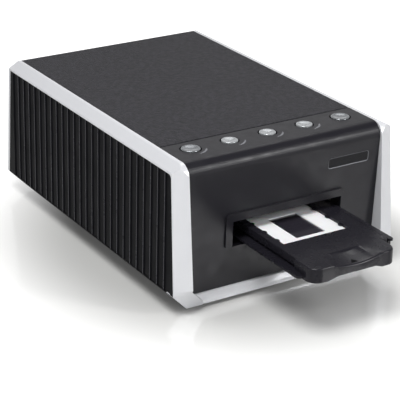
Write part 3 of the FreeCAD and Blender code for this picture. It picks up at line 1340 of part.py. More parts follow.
guide_left()
guide_right()
drive_gear()
gear_post()
motor_pinion()
feed_motor()
chassis_plate()


# ---------------------------------------------------------------- light and optics

def lamp_housing():
    """Open box on the drive plate that holds the lamp over the light window."""
    low_y = "(station_y - lamp_half)"
    high_y = "(station_y + lamp_half)"
    low_x = "(slide_x - lamp_length / 2 - lamp_end)"
    high_x = "(slide_x + lamp_length / 2 + lamp_end)"
    shape = box("lamp_box", low_x, high_x, low_y, high_y, "plate_top", "plate_top + lamp_box_height")
    room = box("lamp_room", f"{low_x} + lamp_end - cap_length / 3", f"{high_x} - lamp_end + cap_length / 3",
               f"{low_y} + lamp_wall", f"{high_y} - lamp_wall",
               "plate_top - over", "plate_top + lamp_box_height - lamp_wall")
    return piece("lamp_housing", cut("lamp_housing_shape", shape, room))


def lamp_tube():
    """Straight lamp with its two caps, held between the end walls of the housing."""
    z = "plate_top + lamp_rise"
    low_x = "slide_x - lamp_length / 2 - cap_length / 3"
    high_x = "slide_x + lamp_length / 2 + cap_length / 3"
    glass = cylinder("lamp_glass", f"{low_x} + cap_length - bond", "station_y", z, "lamp_radius",
                     "lamp_length - 4 * cap_length / 3 + 2 * bond", "x")
    caps = [cylinder(f"lamp_cap_{index}", x, "station_y", z, "cap_radius", "cap_length", "x")
            for index, x in enumerate((low_x, f"{high_x} - cap_length"))]
    return piece("lamp_tube", fuse("lamp_tube_shape", glass, *caps))


def optics_bench():
    """Bench on the floor: mirror wedge, two lens saddles and the stop for the sensor board."""
    root = "floor_top + bench_thick - bond"
    stop_y = "front_y + sensor_depth + board"
    plate = box("bench_plate", "slide_x - bench_half", "slide_x + bench_half", "station_y - bench_front",
                "front_y + sensor_depth + bench_tail", "floor_top", "floor_top + bench_thick")
    half = "(mirror_size * 0.7072 / 2)"
    shift = "(mirror_thick * 0.7072)"
    wedge = prism("mirror_wedge", "YZ", "slide_x - mirror_size / 2", "mirror_size", [
        (f"station_y - {half} - bench_thick", root),
        (f"station_y - {half} - bench_thick", f"optic_height + {half} - {shift}"),
        (f"station_y - {half} - {shift}", f"optic_height + {half} - {shift}"),
        (f"station_y + {half} - {shift}", f"optic_height - {half} - {shift}"),
        (f"station_y + {half} - {shift}", root),
    ])
    saddles = [box(f"lens_{saddle}", "slide_x - saddle_half", "slide_x + saddle_half",
                   f"front_y + lens_depth + {saddle}", f"front_y + lens_depth + {saddle} + saddle_thick",
                   root, "optic_height") for saddle in ("saddle_front", "saddle_rear")]
    stop = box("sensor_stop", "slide_x - bench_half", "slide_x + bench_half", stop_y,
               f"{stop_y} + bench_thick", root, "floor_top + stop_high")
    seat = cylinder("lens_seat", "slide_x", "front_y + lens_depth - over", "optic_height",
                    "lens_radius", "lens_length + 2 * over", "y")
    holes = [cylinder(f"bench_hole_{index}", x, y, "floor_top - over", "screw_radius + shaft_play",
                      "bench_thick + 2 * over") for index, (x, y) in enumerate(screw_places())]
    bench = fuse("bench_solid", plate, wedge, *saddles, stop)
    return piece("optics_bench", cut("optics_bench_shape", bench, seat, *holes))


def fold_mirror():
    """Flat mirror that turns the light from the film towards the lens."""
    half = "(mirror_size * 0.7072 / 2)"
    shift = "(mirror_thick * 0.7072)"
    return piece("fold_mirror", prism("mirror_body", "YZ", "slide_x - mirror_size / 2", "mirror_size", [
        (f"station_y - {half} - {shift}", f"optic_height + {half} - {shift}"),
        (f"station_y - {half}", f"optic_height + {half}"),
        (f"station_y + {half}", f"optic_height - {half}"),
        (f"station_y + {half} - {shift}", f"optic_height - {half} - {shift}"),
    ]))


def lens():
    """Lens barrel in its saddles, and the glass in its front end."""
    y = "front_y + lens_depth"
    tube = cylinder("barrel_tube", "slide_x", y, "optic_height", "lens_radius", "lens_length", "y")
    hole = cylinder("barrel_hole", "slide_x", f"{y} - over", "optic_height", "glass_radius",
                    "lens_length + 2 * over", "y")
    piece("lens_barrel", cut("lens_barrel_shape", tube, hole))
    return piece("lens_glass", cylinder("glass_disc", "slide_x", f"{y} + glass_sink", "optic_height",
                                        "glass_radius", "glass_thick", "y"))


def sensor():
    """Sensor board on the bench and the line sensor on its front."""
    y = "front_y + sensor_depth"
    piece("sensor_board", box("sensor_plate", "slide_x - bench_half", "slide_x + bench_half", y,
                              f"{y} + board", "floor_top + bench_thick", "floor_top + sensor_top"))
    package = box("sensor_package", "slide_x - sensor_half", "slide_x + sensor_half", f"{y} - sensor_thick",
                  y, "optic_height - sensor_high", "optic_height + sensor_high")
    window = box("sensor_window", "slide_x - cell_half", "slide_x + cell_half",
                 f"{y} - sensor_thick - over", f"{y} - sensor_thick + cell_sink",
                 "optic_height - cell_high", "optic_height + cell_high")
    return piece("line_sensor", cut("line_sensor_shape", package, window))


lamp_housing()
lamp_tube()
piece("diffuser", box("diffuser_plate", "slide_x - diffuser_half", "slide_x + diffuser_half",
                      "station_y - diffuser_run", "station_y + diffuser_run",
                      "plate_top", "plate_top + diffuser_thick"))
optics_bench()
fold_mirror()
lens()
sensor()


# ---------------------------------------------------------------- electronics and screws

def main_board():
    """Upright board in the ribs of the base."""
    return piece("main_board", box("board_plate", "board_x", "board_face", "board_y",
                                   "board_y + board_length", "board_low", "board_high"))


def board_components():
    """Chips, capacitors and a shielded converter on the main board."""
    solids = []
    for index, (along, up, side, thick) in enumerate(CHIP_PLACES):
        low_y = f"board_y + {along} * part_unit"
        low_z = f"board_low + {up} * part_unit"
        solids.append(box(f"chip_{index}", "board_face", f"board_face + {thick} * part_unit",
                          low_y, f"{low_y} + {side} * part_unit", low_z, f"{low_z} + {side} * part_unit"))
    for index, (along, up) in enumerate(CAPACITOR_PLACES):
        solids.append(cylinder(f"capacitor_{index}", "board_face", f"board_y + {along} * part_unit",
                               f"board_low + {up} * part_unit", "part_unit", "2.5 * part_unit", "x"))
    solids.append(box("converter", "board_face", "board_face + 2.75 * part_unit",
                      "board_y + 24.5 * part_unit", "board_y + 29 * part_unit",
                      "board_low + 7 * part_unit", "board_low + 11 * part_unit"))
    return piece("board_components", group("component_group", *solids))


def usb_socket():
    """Square data socket at the rear, with its tongue."""
    rear = f"(rear_y - {rear_in('usb_z')} - usb_recess)"
    low_z = "usb_z - usb_height / 2"
    high_z = "usb_z + usb_height / 2"
    case = box("usb_case", "board_face", "board_face + usb_width", f"{rear} - usb_depth", rear, low_z, high_z)
    room = box("usb_room", "board_face + usb_shell", "board_face + usb_width - usb_shell",
               f"{rear} - usb_depth / 2", f"{rear} + over", f"{low_z} + usb_shell", f"{high_z} - usb_shell")
    tongue = box("usb_tongue", "board_face + 2 * usb_shell", "board_face + usb_width - 2 * usb_shell",
                 f"{rear} - usb_depth / 2 - bond", f"{rear} - usb_recess",
                 "usb_z - usb_shell", "usb_z + usb_shell")
    return piece("usb_socket", fuse("usb_socket_shape", cut("usb_hollow", case, room), tongue))


def power_inlet():
    """Round low-voltage inlet at the rear, with its centre pin."""
    rear = f"(rear_y - {rear_in('power_z')} - inlet_recess)"
    x = "board_face + inlet_size / 2"
    case = box("inlet_case", "board_face", "board_face + inlet_size", f"{rear} - inlet_depth",
               f"{rear} - inlet_nose", "power_z - inlet_size / 2", "power_z + inlet_size / 2")
    nose = cylinder("inlet_round", x, f"{rear} - inlet_nose - bond", "power_z", "nose_radius",
                    "inlet_nose + bond", "y")
    bore = cylinder("inlet_hole", x, f"{rear} - inlet_reach", "power_z", "inlet_bore",
                    "inlet_reach + over", "y")
    pin = cylinder("inlet_contact", x, f"{rear} - inlet_reach - bond", "power_z", "inlet_pin",
                   "inlet_reach - bond", "y")
    hollow = cut("inlet_hollow", fuse("inlet_solid", case, nose), bore)
    return piece("power_inlet", fuse("power_inlet_shape", hollow, pin))


def case_screws():
    """Four countersunk screws through the base into the bench."""
    solids = []
    for index, (x, y) in enumerate(screw_places()):
        head = cylinder(f"screw_head_{index}", x, y, "foot_height + fit_gap", "head_radius", "head_thick")
        shank = cylinder(f"screw_shank_{index}", x, y, "foot_height + head_thick - fit_gap", "screw_radius",
                         "screw_length")
        top_z = "foot_height + fit_gap + cross_depth"
        first = box(f"screw_slot_{index}", f"{x} - cross_half", f"{x} + cross_half",
                    f"{y} - cross_width / 2", f"{y} + cross_width / 2", "foot_height - over", top_z)
        second = box(f"screw_cross_{index}", f"{x} - cross_width / 2", f"{x} + cross_width / 2",
                     f"{y} - cross_half", f"{y} + cross_half", "foot_height - over", top_z)
        solids.append(cut(f"screw_{index}", fuse(f"screw_solid_{index}", head, shank), first, second))
    return piece("case_screws", group("screw_group", *solids))


main_board()
board_components()
usb_socket()
power_inlet()
case_screws()


def write_parts():
    """Check every object, then write each sub-part to its own file."""
    doc.recompute()
    for item in doc.Objects:
        if "Invalid" in item.State or "Error" in item.State:
            raise RuntimeError(f"{item.Name} did not compute: {item.State}")
    os.makedirs("parts", exist_ok=True)
    for item in PIECES:
        if item.Shape.isNull() or not item.Shape.isValid():
            raise RuntimeError(f"{item.Label} has no valid shape")
        item.Shape.exportStep(f"parts/{item.Label}.step")


write_parts()
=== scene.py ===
import json
import math

import bmesh
import bpy
from bpy.props import FloatProperty, FloatVectorProperty, PointerProperty
from mathutils import Matrix, Vector
from mathutils.bvhtree import BVHTree


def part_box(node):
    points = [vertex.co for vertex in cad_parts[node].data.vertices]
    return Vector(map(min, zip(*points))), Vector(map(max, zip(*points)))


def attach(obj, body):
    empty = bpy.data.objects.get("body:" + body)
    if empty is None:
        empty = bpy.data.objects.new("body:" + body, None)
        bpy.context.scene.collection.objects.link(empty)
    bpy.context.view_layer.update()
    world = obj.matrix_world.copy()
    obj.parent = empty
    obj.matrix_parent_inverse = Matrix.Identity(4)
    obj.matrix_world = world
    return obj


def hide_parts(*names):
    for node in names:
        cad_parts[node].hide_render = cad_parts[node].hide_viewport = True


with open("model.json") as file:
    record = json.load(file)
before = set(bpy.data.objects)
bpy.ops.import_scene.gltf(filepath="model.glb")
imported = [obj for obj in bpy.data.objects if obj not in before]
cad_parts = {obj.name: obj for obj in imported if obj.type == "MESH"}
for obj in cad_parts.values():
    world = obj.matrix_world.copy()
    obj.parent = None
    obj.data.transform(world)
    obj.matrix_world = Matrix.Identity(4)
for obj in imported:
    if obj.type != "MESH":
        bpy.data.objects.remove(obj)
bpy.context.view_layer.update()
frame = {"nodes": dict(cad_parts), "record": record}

bl_info = {
    "name": "Slide Scanner",
    "version": (1, 0, 0),
    "blender": (4, 5, 0),
    "location": "View3D > Sidebar > Slide Scanner",
    "description": "Dresses a desktop slide scanner with mouldings, finishes, floor and light",
    "category": "Add Mesh",
}

MM = 0.001
HOUSING = "housing"
HOLDER = "holder"


# ---------------------------------------------------------------- colour and nodes

def linear(hex_colour):
    """An sRGB hex colour as linear red, green, blue and full alpha."""
    channels = [int(hex_colour[start:start + 2], 16) / 255 for start in (1, 3, 5)]
    bent = [c / 12.92 if c <= 0.04045 else ((c + 0.055) / 1.055) ** 2.4 for c in channels]
    return (*bent, 1.0)


WHITE = (1.0, 1.0, 1.0, 1.0)


def dimmed(colour, share):
    """A linear colour with its light brought down to this share."""
    return (*(channel * share for channel in colour[:3]), 1.0)


# A Mix node's colour sockets, by place, because their names repeat for each kind of data.
MIX_SHARE, MIX_A, MIX_B, MIX_COLOUR = 0, 6, 7, 2


def add_node(tree, kind, settings=None, values=None, links=None):
    """Add one node, with its settings, its socket values and its incoming links."""
    node = tree.nodes.new(kind)
    for name, value in (settings or {}).items():
        setattr(node, name, value)
    for socket, value in (values or {}).items():
        node.inputs[socket].default_value = value
    for socket, source in (links or {}).items():
        tree.links.new(source, node.inputs[socket])
    return node


# ---------------------------------------------------------------- what a user may change

def length_property(name, millimetres, description):
    """A length that shows in the scene's units."""
    return FloatProperty(name=name, description=description, default=millimetres * MM,
                         min=0.0, soft_max=0.05, precision=5, unit="LENGTH", subtype="DISTANCE")


def colour_property(name, hex_colour, description):
    """A colour swatch, kept as linear light."""
    return FloatVectorProperty(name=name, description=description, default=linear(hex_colour)[:3],
                               size=3, min=0.0, max=1.0, subtype="COLOR")


class ScannerSizes(bpy.types.PropertyGroup):
    """Sizes of the softened edges, printed marks and trim"""
    frame_edge: length_property("Frame edge", 0.9, "Rounding of the silver frames' edges")
    cover_edge: length_property("Cover edge", 0.3, "Rounding of the black covers' edges")
    ridge_edge: length_property("Ridge edge", 0.12, "Rounding of the ridges on the sides")
    holder_edge: length_property("Holder edge", 0.5, "Rounding of the holder's edges")
    grip_edge: length_property("Grip edge", 1.3, "Rounding of the grip's upper edge")
    slide_edge: length_property("Slide edge", 0.2, "Rounding of the slide mount's edges")
    key_edge: length_property("Key edge", 0.35, "Rounding of the keys' rims")
    mark_gap: length_property("Mark gap", 2.9, "From a middle key's side to its printed arc")
    mark_width: length_property("Mark width", 1.5, "Width of the printed arcs at their middle")
    badge_rim: length_property("Badge rim", 0.45, "Width of the raised rim round the badge plate")
    arrow_length: length_property("Arrow length", 4.0, "Length of the arrow in the thumb dish")


class ScannerColours(bpy.types.PropertyGroup):
    """Colours of the finishes that show from outside"""
    silver: colour_property("Silver lacquer", "#e3e4e8", "Side frames and sill")
    cover: colour_property("Front cover", "#1d1c22", "Front cover, key strip and rear panel")
    top: colour_property("Grained top", "#2b2a30", "Grained top panel")
    sides: colour_property("Ribbed sides", "#0f0f13", "Ribbed side panels")
    inside: colour_property("Base and slot", "#101012", "Base pan, guides and the slot's tunnel")
    holder: colour_property("Holder", "#1f1e24", "Film holder and its rack")
    middle_keys: colour_property("Middle keys", "#aeb1b4", "Lacquer of the three middle keys")
    end_keys: colour_property("End keys", "#8c8f93", "Lacquer of the two end keys")
    slide: colour_property("Slide mount", "#ececee", "Plastic of the slide mount")
    film: colour_property("Film", "#2a282f", "Developed film in the mount")
    print_ink: colour_property("Printed marks", "#77787d", "Ink of the arcs beside the keys")
    table: colour_property("Table", "#cbcbc9", "Table top under the scanner")


def size(name):
    """A size that the user may have changed, in metres."""
    return getattr(bpy.context.scene.scanner_sizes, name)


def colour(name):
    """A colour that the user may have changed, linear with full alpha."""
    return (*getattr(bpy.context.scene.scanner_colours, name), 1.0)


# ---------------------------------------------------------------- materials

def new_material(name):
    """An empty node material with its Principled shader wired to the output."""
    material = bpy.data.materials.new(name)
    material.use_nodes = True
    tree = material.node_tree
    tree.nodes.clear()
    shader = add_node(tree, "ShaderNodeBsdfPrincipled")
    add_node(tree, "ShaderNodeOutputMaterial", links={"Surface": shader.outputs["BSDF"]})
    return material, tree, shader


def per_metre(size_mm):
    """Texture scale that gives a pattern features of this real size."""
    return 1.0 / (size_mm * MM)


# Octaves of the patches and of the grit, and the span of noise in which most patches lie.
PATCH_DETAIL = 4.0
GRIT_DETAIL = 3.0
GRIT_STRENGTH = 0.5
PATCH_LOW, PATCH_HIGH = 0.3, 0.7


def varied_surface(name, base, patch_mm, roughness, worn=0.85, spread=0.06, grit_mm=0.4,
                   bump_mm=0.02, **sockets):
    """Finish with slow colour patches, matching roughness patches and a fine grit in relief.

    worn is the share of the base colour's light left in the darkest patch, and spread is how far
    the roughness strays each way. Other keywords set the shader's sockets, with _ for a space."""
    material, tree, shader = new_material(name)
    place = add_node(tree, "ShaderNodeTexCoord").outputs["Object"]
    patches = add_node(tree, "ShaderNodeTexNoise",
                       values={"Scale": per_metre(patch_mm), "Detail": PATCH_DETAIL},
                       links={"Vector": place}).outputs["Fac"]
    tint = add_node(tree, "ShaderNodeMix", {"data_type": "RGBA"},
                    {MIX_A: base, MIX_B: dimmed(base, worn)},
                    {MIX_SHARE: patches}).outputs[MIX_COLOUR]
    gloss = add_node(tree, "ShaderNodeMapRange", values={
        "From Min": PATCH_LOW, "From Max": PATCH_HIGH,
        "To Min": roughness - spread, "To Max": roughness + spread,
    }, links={"Value": patches}).outputs["Result"]
    grit = add_node(tree, "ShaderNodeTexNoise",
                    values={"Scale": per_metre(grit_mm), "Detail": GRIT_DETAIL},
                    links={"Vector": place}).outputs["Fac"]
    relief = add_node(tree, "ShaderNodeBump",
                      values={"Strength": GRIT_STRENGTH, "Distance": bump_mm * MM},
                      links={"Height": grit}).outputs["Normal"]
    tree.links.new(tint, shader.inputs["Base Color"])
    tree.links.new(gloss, shader.inputs["Roughness"])
    tree.links.new(relief, shader.inputs["Normal"])
    for socket, value in sockets.items():
        shader.inputs[socket.replace("_", " ")].default_value = value
    return material


def silver_lacquered_abs():
    # Silver lacquer sprayed on moulded ABS: nearly white where it faces the light, with a soft
    # metallic grey roll-off and flakes too fine to tell apart.
    return varied_surface("silver_lacquered_abs", colour("silver"), patch_mm=14, roughness=0.34,
                          worn=0.94, grit_mm=0.6, bump_mm=0.0015, Metallic=0.3, Coat_Weight=0.2,
                          Coat_Roughness=0.2)


def black_moulded_abs():
    # Black ABS straight from a satin mould: a dull sheen, faintly uneven from flow in the mould.
    return varied_surface("black_moulded_abs", colour("sides"), patch_mm=18, roughness=0.42,
                          worn=0.7, grit_mm=0.5, bump_mm=0.008, IOR=1.53, Specular_IOR_Level=0.06)


def rubbed_ridge_abs():
    # The same black ABS on the ridges' crowns, shinier, and painted paler as a highlight.
    return varied_surface("rubbed_ridge_abs", linear("#34343b"), patch_mm=10, roughness=0.3,
                          worn=0.75, grit_mm=0.5, bump_mm=0.004, IOR=1.53, Specular_IOR_Level=0.25)


def spark_textured_abs():
    # ABS moulded against a spark-eroded surface: charcoal with a fine, even, matt tooth. The
    # tooth is drawn near 1.1 mm, coarser than real, so that it shows.
    return varied_surface("spark_textured_abs", colour("cover"), patch_mm=9, roughness=0.36,
                          worn=0.7, grit_mm=1.1, bump_mm=0.04, IOR=1.53, Specular_IOR_Level=0.28)


# The grain: pebble size, how far and over what length the pebbles' outlines wander, and the
# crease's width, as a share of a pebble, its depth and how strongly it shades. The mottle: its
# size, the noise between its tones, and the tones themselves; last, the share of the top's light
# left in the creases, which are painted darker as shade.
PEBBLE_MM = 1.7
WANDER_MM, WANDER_OVER_MM, WANDER_DETAIL = 0.8, 2.5, 2.0
CREASE_WIDTH = 0.25
CREASE_DEPTH_MM, CREASE_STRENGTH = 0.2, 0.8
MOTTLE_MM, MOTTLE_DETAIL = 4.0, 5.0
MOTTLE_LOW, MOTTLE_HIGH = 0.42, 0.58
MOTTLE_DARK, MOTTLE_PALE, CREASE_SHADE = 0.6, 1.55, 0.4


def leather_grained_abs():
    # ABS moulded with a leather grain: flat-topped pebbles about 1.7 mm apart, with creases
    # between them painted darker as shade, and a wander of tone over the panel.
    material, tree, shader = new_material("leather_grained_abs")
    place = add_node(tree, "ShaderNodeTexCoord").outputs["Object"]
    drift = add_node(tree, "ShaderNodeTexNoise",
                     values={"Scale": per_metre(WANDER_OVER_MM), "Detail": WANDER_DETAIL},
                     links={"Vector": place}).outputs["Color"]
    bent = add_node(tree, "ShaderNodeVectorMath", {"operation": "SCALE"},
                    {"Scale": WANDER_MM * MM}, {0: drift}).outputs["Vector"]
    warped = add_node(tree, "ShaderNodeVectorMath", {"operation": "ADD"},
                      links={0: place, 1: bent}).outputs["Vector"]
    pebbles = add_node(tree, "ShaderNodeTexVoronoi", {"feature": "DISTANCE_TO_EDGE"},
                       {"Scale": per_metre(PEBBLE_MM)}, {"Vector": warped}).outputs["Distance"]
    flat_tops = add_node(tree, "ShaderNodeMapRange", values={"From Max": CREASE_WIDTH},
                         links={"Value": pebbles}).outputs["Result"]
    mottle = add_node(tree, "ShaderNodeTexNoise",
                      values={"Scale": per_metre(MOTTLE_MM), "Detail": MOTTLE_DETAIL},
                      links={"Vector": place}).outputs["Fac"]
    patchy = add_node(tree, "ShaderNodeMapRange",
                      values={"From Min": MOTTLE_LOW, "From Max": MOTTLE_HIGH},
                      links={"Value": mottle}).outputs["Result"]
    top = colour("top")
    tone = add_node(tree, "ShaderNodeMix", {"data_type": "RGBA"},
                    {MIX_A: dimmed(top, MOTTLE_DARK), MIX_B: dimmed(top, MOTTLE_PALE)},
                    {MIX_SHARE: patchy}).outputs[MIX_COLOUR]
    # Painted shade: the creases between the pebbles are painted darker than the pebbles' tops.
    crease_shaded = add_node(tree, "ShaderNodeMix", {"data_type": "RGBA"},
                       {MIX_A: dimmed(top, CREASE_SHADE)},
                       {MIX_SHARE: flat_tops, MIX_B: tone}).outputs[MIX_COLOUR]
    relief = add_node(tree, "ShaderNodeBump",
                      values={"Strength": CREASE_STRENGTH, "Distance": CREASE_DEPTH_MM * MM},
                      links={"Height": flat_tops}).outputs["Normal"]
    tree.links.new(crease_shaded, shader.inputs["Base Color"])
    tree.links.new(relief, shader.inputs["Normal"])
    shader.inputs["Roughness"].default_value = 0.5
    shader.inputs["IOR"].default_value = 1.53
    shader.inputs["Specular IOR Level"].default_value = 0.2
    return material


def black_base_abs():
    # Black ABS of the base pan, the guides and the slot's tunnel: matt, so the inside stays dark.
    return varied_surface("black_base_abs", colour("inside"), patch_mm=12, roughness=0.6,
                          grit_mm=0.6, bump_mm=0.02, IOR=1.53, Specular_IOR_Level=0.3)


def satin_lacquered_keys():
    # Pale silver lacquer on a moulded key: a soft bright rim round a greyer dish.
    return varied_surface("satin_lacquered_keys", colour("middle_keys"), patch_mm=5,
                          roughness=0.28, grit_mm=0.3, bump_mm=0.0005, Metallic=0.45,
                          Coat_Weight=0.3, Coat_Roughness=0.15)


def deep_lacquered_keys():
    # Deeper silver lacquer of the two end keys: more metal, so it mirrors dark and bright.
    return varied_surface("deep_lacquered_keys", colour("end_keys"), patch_mm=5, roughness=0.24,
                          grit_mm=0.3, bump_mm=0.0005, Metallic=0.6, Coat_Weight=0.3,
                          Coat_Roughness=0.12)


def black_moulded_nylon():
    # Black glass-filled nylon of the holder: satin with bright soft edges where it is handled.
    return varied_surface("black_moulded_nylon", colour("holder"), patch_mm=8, roughness=0.26,
                          worn=0.8, grit_mm=0.5, bump_mm=0.003, IOR=1.53, Specular_IOR_Level=0.22)


def white_polystyrene():
    # White polystyrene slide mount: matt white with a hint of light through the plastic.
    return varied_surface("white_polystyrene", colour("slide"), patch_mm=6, roughness=0.45,
                          worn=0.96, grit_mm=0.35, bump_mm=0.006, IOR=1.59, Subsurface_Weight=0.08,
                          Subsurface_Scale=0.6 * MM)


def developed_film():
    # Dark developed film: glossy base, nearly black, with a cool violet depth.
    return varied_surface("developed_film", colour("film"), patch_mm=7, roughness=0.16,
                          grit_mm=0.8, bump_mm=0.002, IOR=1.48, Specular_IOR_Level=0.35,
                          Coat_Weight=0.3, Coat_Roughness=0.08)


def moulded_rubber():
    # Moulded rubber feet: dead matt black with a little bloom.
    return varied_surface("moulded_rubber", linear("#1c1c1f"), patch_mm=3, roughness=0.85,
                          grit_mm=0.3, bump_mm=0.03, IOR=1.52)


# Noise counts this share of the way along X, so the brush marks run 25 times longer there.
BRUSH_STRETCH = (0.04, 1.0, 1.0)
BRUSH_MM, BRUSH_DEPTH_MM, BRUSH_STRENGTH = 0.35, 0.02, 0.4


def black_anodised_plate():
    # Black anodised aluminium plate, brushed along its length: dark, with fine paler streaks.
    material, tree, shader = new_material("black_anodised_plate")
    place = add_node(tree, "ShaderNodeTexCoord").outputs["Object"]
    drawn = add_node(tree, "ShaderNodeMapping", values={"Scale": BRUSH_STRETCH},
                     links={"Vector": place}).outputs["Vector"]
    scratches = add_node(tree, "ShaderNodeTexNoise",
                         values={"Scale": per_metre(BRUSH_MM), "Detail": GRIT_DETAIL},
                         links={"Vector": drawn}).outputs["Fac"]
    tone = add_node(tree, "ShaderNodeMix", {"data_type": "RGBA"},
                    {MIX_A: linear("#0c0c0e"), MIX_B: linear("#1c1c20")},
                    {MIX_SHARE: scratches}).outputs[MIX_COLOUR]
    relief = add_node(tree, "ShaderNodeBump",
                      values={"Strength": BRUSH_STRENGTH, "Distance": BRUSH_DEPTH_MM * MM},
                      links={"Height": scratches}).outputs["Normal"]
    tree.links.new(tone, shader.inputs["Base Color"])
    tree.links.new(relief, shader.inputs["Normal"])
    shader.inputs["Metallic"].default_value = 0.7
    shader.inputs["Roughness"].default_value = 0.38
    return material


def milled_badge_rim():
    # Aluminium rim of the badge plate, milled bright after anodising and then lacquered.
    return varied_surface("milled_badge_rim", linear("#8a8b90"), patch_mm=2, roughness=0.34,
                          grit_mm=0.2, bump_mm=0.002, Metallic=0.9)


def zinc_plated_steel():
    # Zinc-plated sheet steel: grey metal with faint spangle.
    return varied_surface("zinc_plated_steel", linear("#a8abb0"), patch_mm=5, roughness=0.34,
                          worn=0.75, grit_mm=0.6, bump_mm=0.004, Metallic=1.0)


def turned_brass():
    # Turned brass pinion: warm yellow metal.
    return varied_surface("turned_brass", linear("#c9a75a"), patch_mm=4, roughness=0.28,
                          grit_mm=0.4, bump_mm=0.003, Metallic=1.0)


def natural_acetal():
    # Natural acetal gears: milky off-white with a waxy sheen.
    return varied_surface("natural_acetal", linear("#e4e1d6"), patch_mm=5, roughness=0.35,
                          worn=0.93, grit_mm=0.5, bump_mm=0.004, IOR=1.48)


# The board's tracks: their spacing and height, how strongly they shade, and the span of
# distance, as shares of the spacing, over which a track's side falls.
TRACK_MM, TRACK_HEIGHT_MM, TRACK_STRENGTH = 4.0, 0.04, 0.6
TRACK_INNER, TRACK_OUTER = 0.05, 0.09


def solder_masked_board():
    # Green solder mask over copper: glossy green with slightly raised tracks.
    material, tree, shader = new_material("solder_masked_board")
    place = add_node(tree, "ShaderNodeTexCoord").outputs["Object"]
    tracks = add_node(tree, "ShaderNodeTexVoronoi", {"feature": "DISTANCE_TO_EDGE"},
                      {"Scale": per_metre(TRACK_MM), "Randomness": 0.7},
                      {"Vector": place}).outputs["Distance"]
    laid = add_node(tree, "ShaderNodeMapRange", values={
        "From Min": TRACK_INNER, "From Max": TRACK_OUTER, "To Min": 1.0, "To Max": 0.0,
    }, links={"Value": tracks}).outputs["Result"]
    tone = add_node(tree, "ShaderNodeMix", {"data_type": "RGBA"},
                    {MIX_A: linear("#0f4a2a"), MIX_B: linear("#1d6b3d")},
                    {MIX_SHARE: laid}).outputs[MIX_COLOUR]
    relief = add_node(tree, "ShaderNodeBump",
                      values={"Strength": TRACK_STRENGTH, "Distance": TRACK_HEIGHT_MM * MM},
                      links={"Height": laid}).outputs["Normal"]
    tree.links.new(tone, shader.inputs["Base Color"])
    tree.links.new(relief, shader.inputs["Normal"])
    shader.inputs["Roughness"].default_value = 0.28
    return material


def moulded_epoxy():
    # Moulded epoxy of chips and switches: matt near-black.
    return varied_surface("moulded_epoxy", linear("#1e1e20"), patch_mm=3, roughness=0.55,
                          grit_mm=0.3, bump_mm=0.01)


def moulded_inlet_nylon():
    # Black nylon of the power inlet: dull, with the mould's fine grit.
    return varied_surface("moulded_inlet_nylon", linear("#19191b"), patch_mm=4, roughness=0.45,
                          grit_mm=0.3, bump_mm=0.01)


def folded_aluminium():
    # Mill-finish aluminium sheet of the lamp housing: pale, softly mirroring.
    return varied_surface("folded_aluminium", linear("#c8cbcf"), patch_mm=6, roughness=0.32,
                          grit_mm=0.5, bump_mm=0.003, Metallic=1.0)


def phosphor_coated_glass():
    # Cold-cathode lamp, off: white phosphor seen through clear glass.
    return varied_surface("phosphor_coated_glass", linear("#f0efe8"), patch_mm=5, roughness=0.15,
                          worn=0.95, grit_mm=0.5, bump_mm=0.001, IOR=1.5, Coat_Weight=1.0,
                          Coat_Roughness=0.05)


def opal_acrylic():
    # Opal acrylic diffuser: milky white, glossy.
    return varied_surface("opal_acrylic", linear("#eef0f0"), patch_mm=6, roughness=0.2, worn=0.95,
                          grit_mm=0.6, bump_mm=0.001, IOR=1.49)


def coated_die_casting():
    # Die-cast aluminium bench with a black coat: rough and dark, so it scatters no light.
    return varied_surface("coated_die_casting", linear("#3a3a3d"), patch_mm=7, roughness=0.55,
                          worn=0.7, grit_mm=0.8, bump_mm=0.03, Metallic=0.5)


def silvered_mirror():
    # Front-silvered mirror: polished metal film with the odd speck of dust.
    return varied_surface("silvered_mirror", linear("#e9ebee"), patch_mm=4, roughness=0.07,
                          worn=0.95, spread=0.03, grit_mm=1.0, bump_mm=0.0005, Metallic=1.0)


def black_anodised_barrel():
    # Black anodised lens barrel: turned aluminium, dark satin.
    return varied_surface("black_anodised_barrel", linear("#232326"), patch_mm=3, roughness=0.35,
                          worn=0.7, grit_mm=0.3, bump_mm=0.006, Metallic=0.8)


HAZE_MM = 6.0


def coated_lens_glass():
    # Coated optical glass: clear, with a cool tint and a faint haze of coating.
    material, tree, shader = new_material("coated_lens_glass")
    place = add_node(tree, "ShaderNodeTexCoord").outputs["Object"]
    haze = add_node(tree, "ShaderNodeTexNoise", values={"Scale": per_metre(HAZE_MM)},
                    links={"Vector": place}).outputs["Fac"]
    tone = add_node(tree, "ShaderNodeMix", {"data_type": "RGBA"},
                    {MIX_A: linear("#dfe9f2"), MIX_B: linear("#d3dcf0")},
                    {MIX_SHARE: haze}).outputs[MIX_COLOUR]
    tree.links.new(tone, shader.inputs["Base Color"])
    shader.inputs["Transmission Weight"].default_value = 1.0
    shader.inputs["Roughness"].default_value = 0.02
    shader.inputs["IOR"].default_value = 1.52
    return material


def ceramic_package():
    # Ceramic sensor package: dark grey-violet, matt.
    return varied_surface("ceramic_package", linear("#3a363c"), patch_mm=3, roughness=0.5,
                          grit_mm=0.3, bump_mm=0.01)


def pad_printed_ink():
    # Pad-printed grey ink: matt, slightly worn where fingers pass.
    return varied_surface("pad_printed_ink", colour("print_ink"), patch_mm=1.5, roughness=0.6,
                          worn=0.7, grit_mm=0.25, bump_mm=0.002)


def pad_printed_black():
    # Black ink of the arrow in the thumb dish: flatter and darker than the moulding under it.
    return varied_surface("pad_printed_black", linear("#0a0a0c"), patch_mm=1.5, roughness=0.7,
                          grit_mm=0.25, bump_mm=0.002, Specular_IOR_Level=0.1)


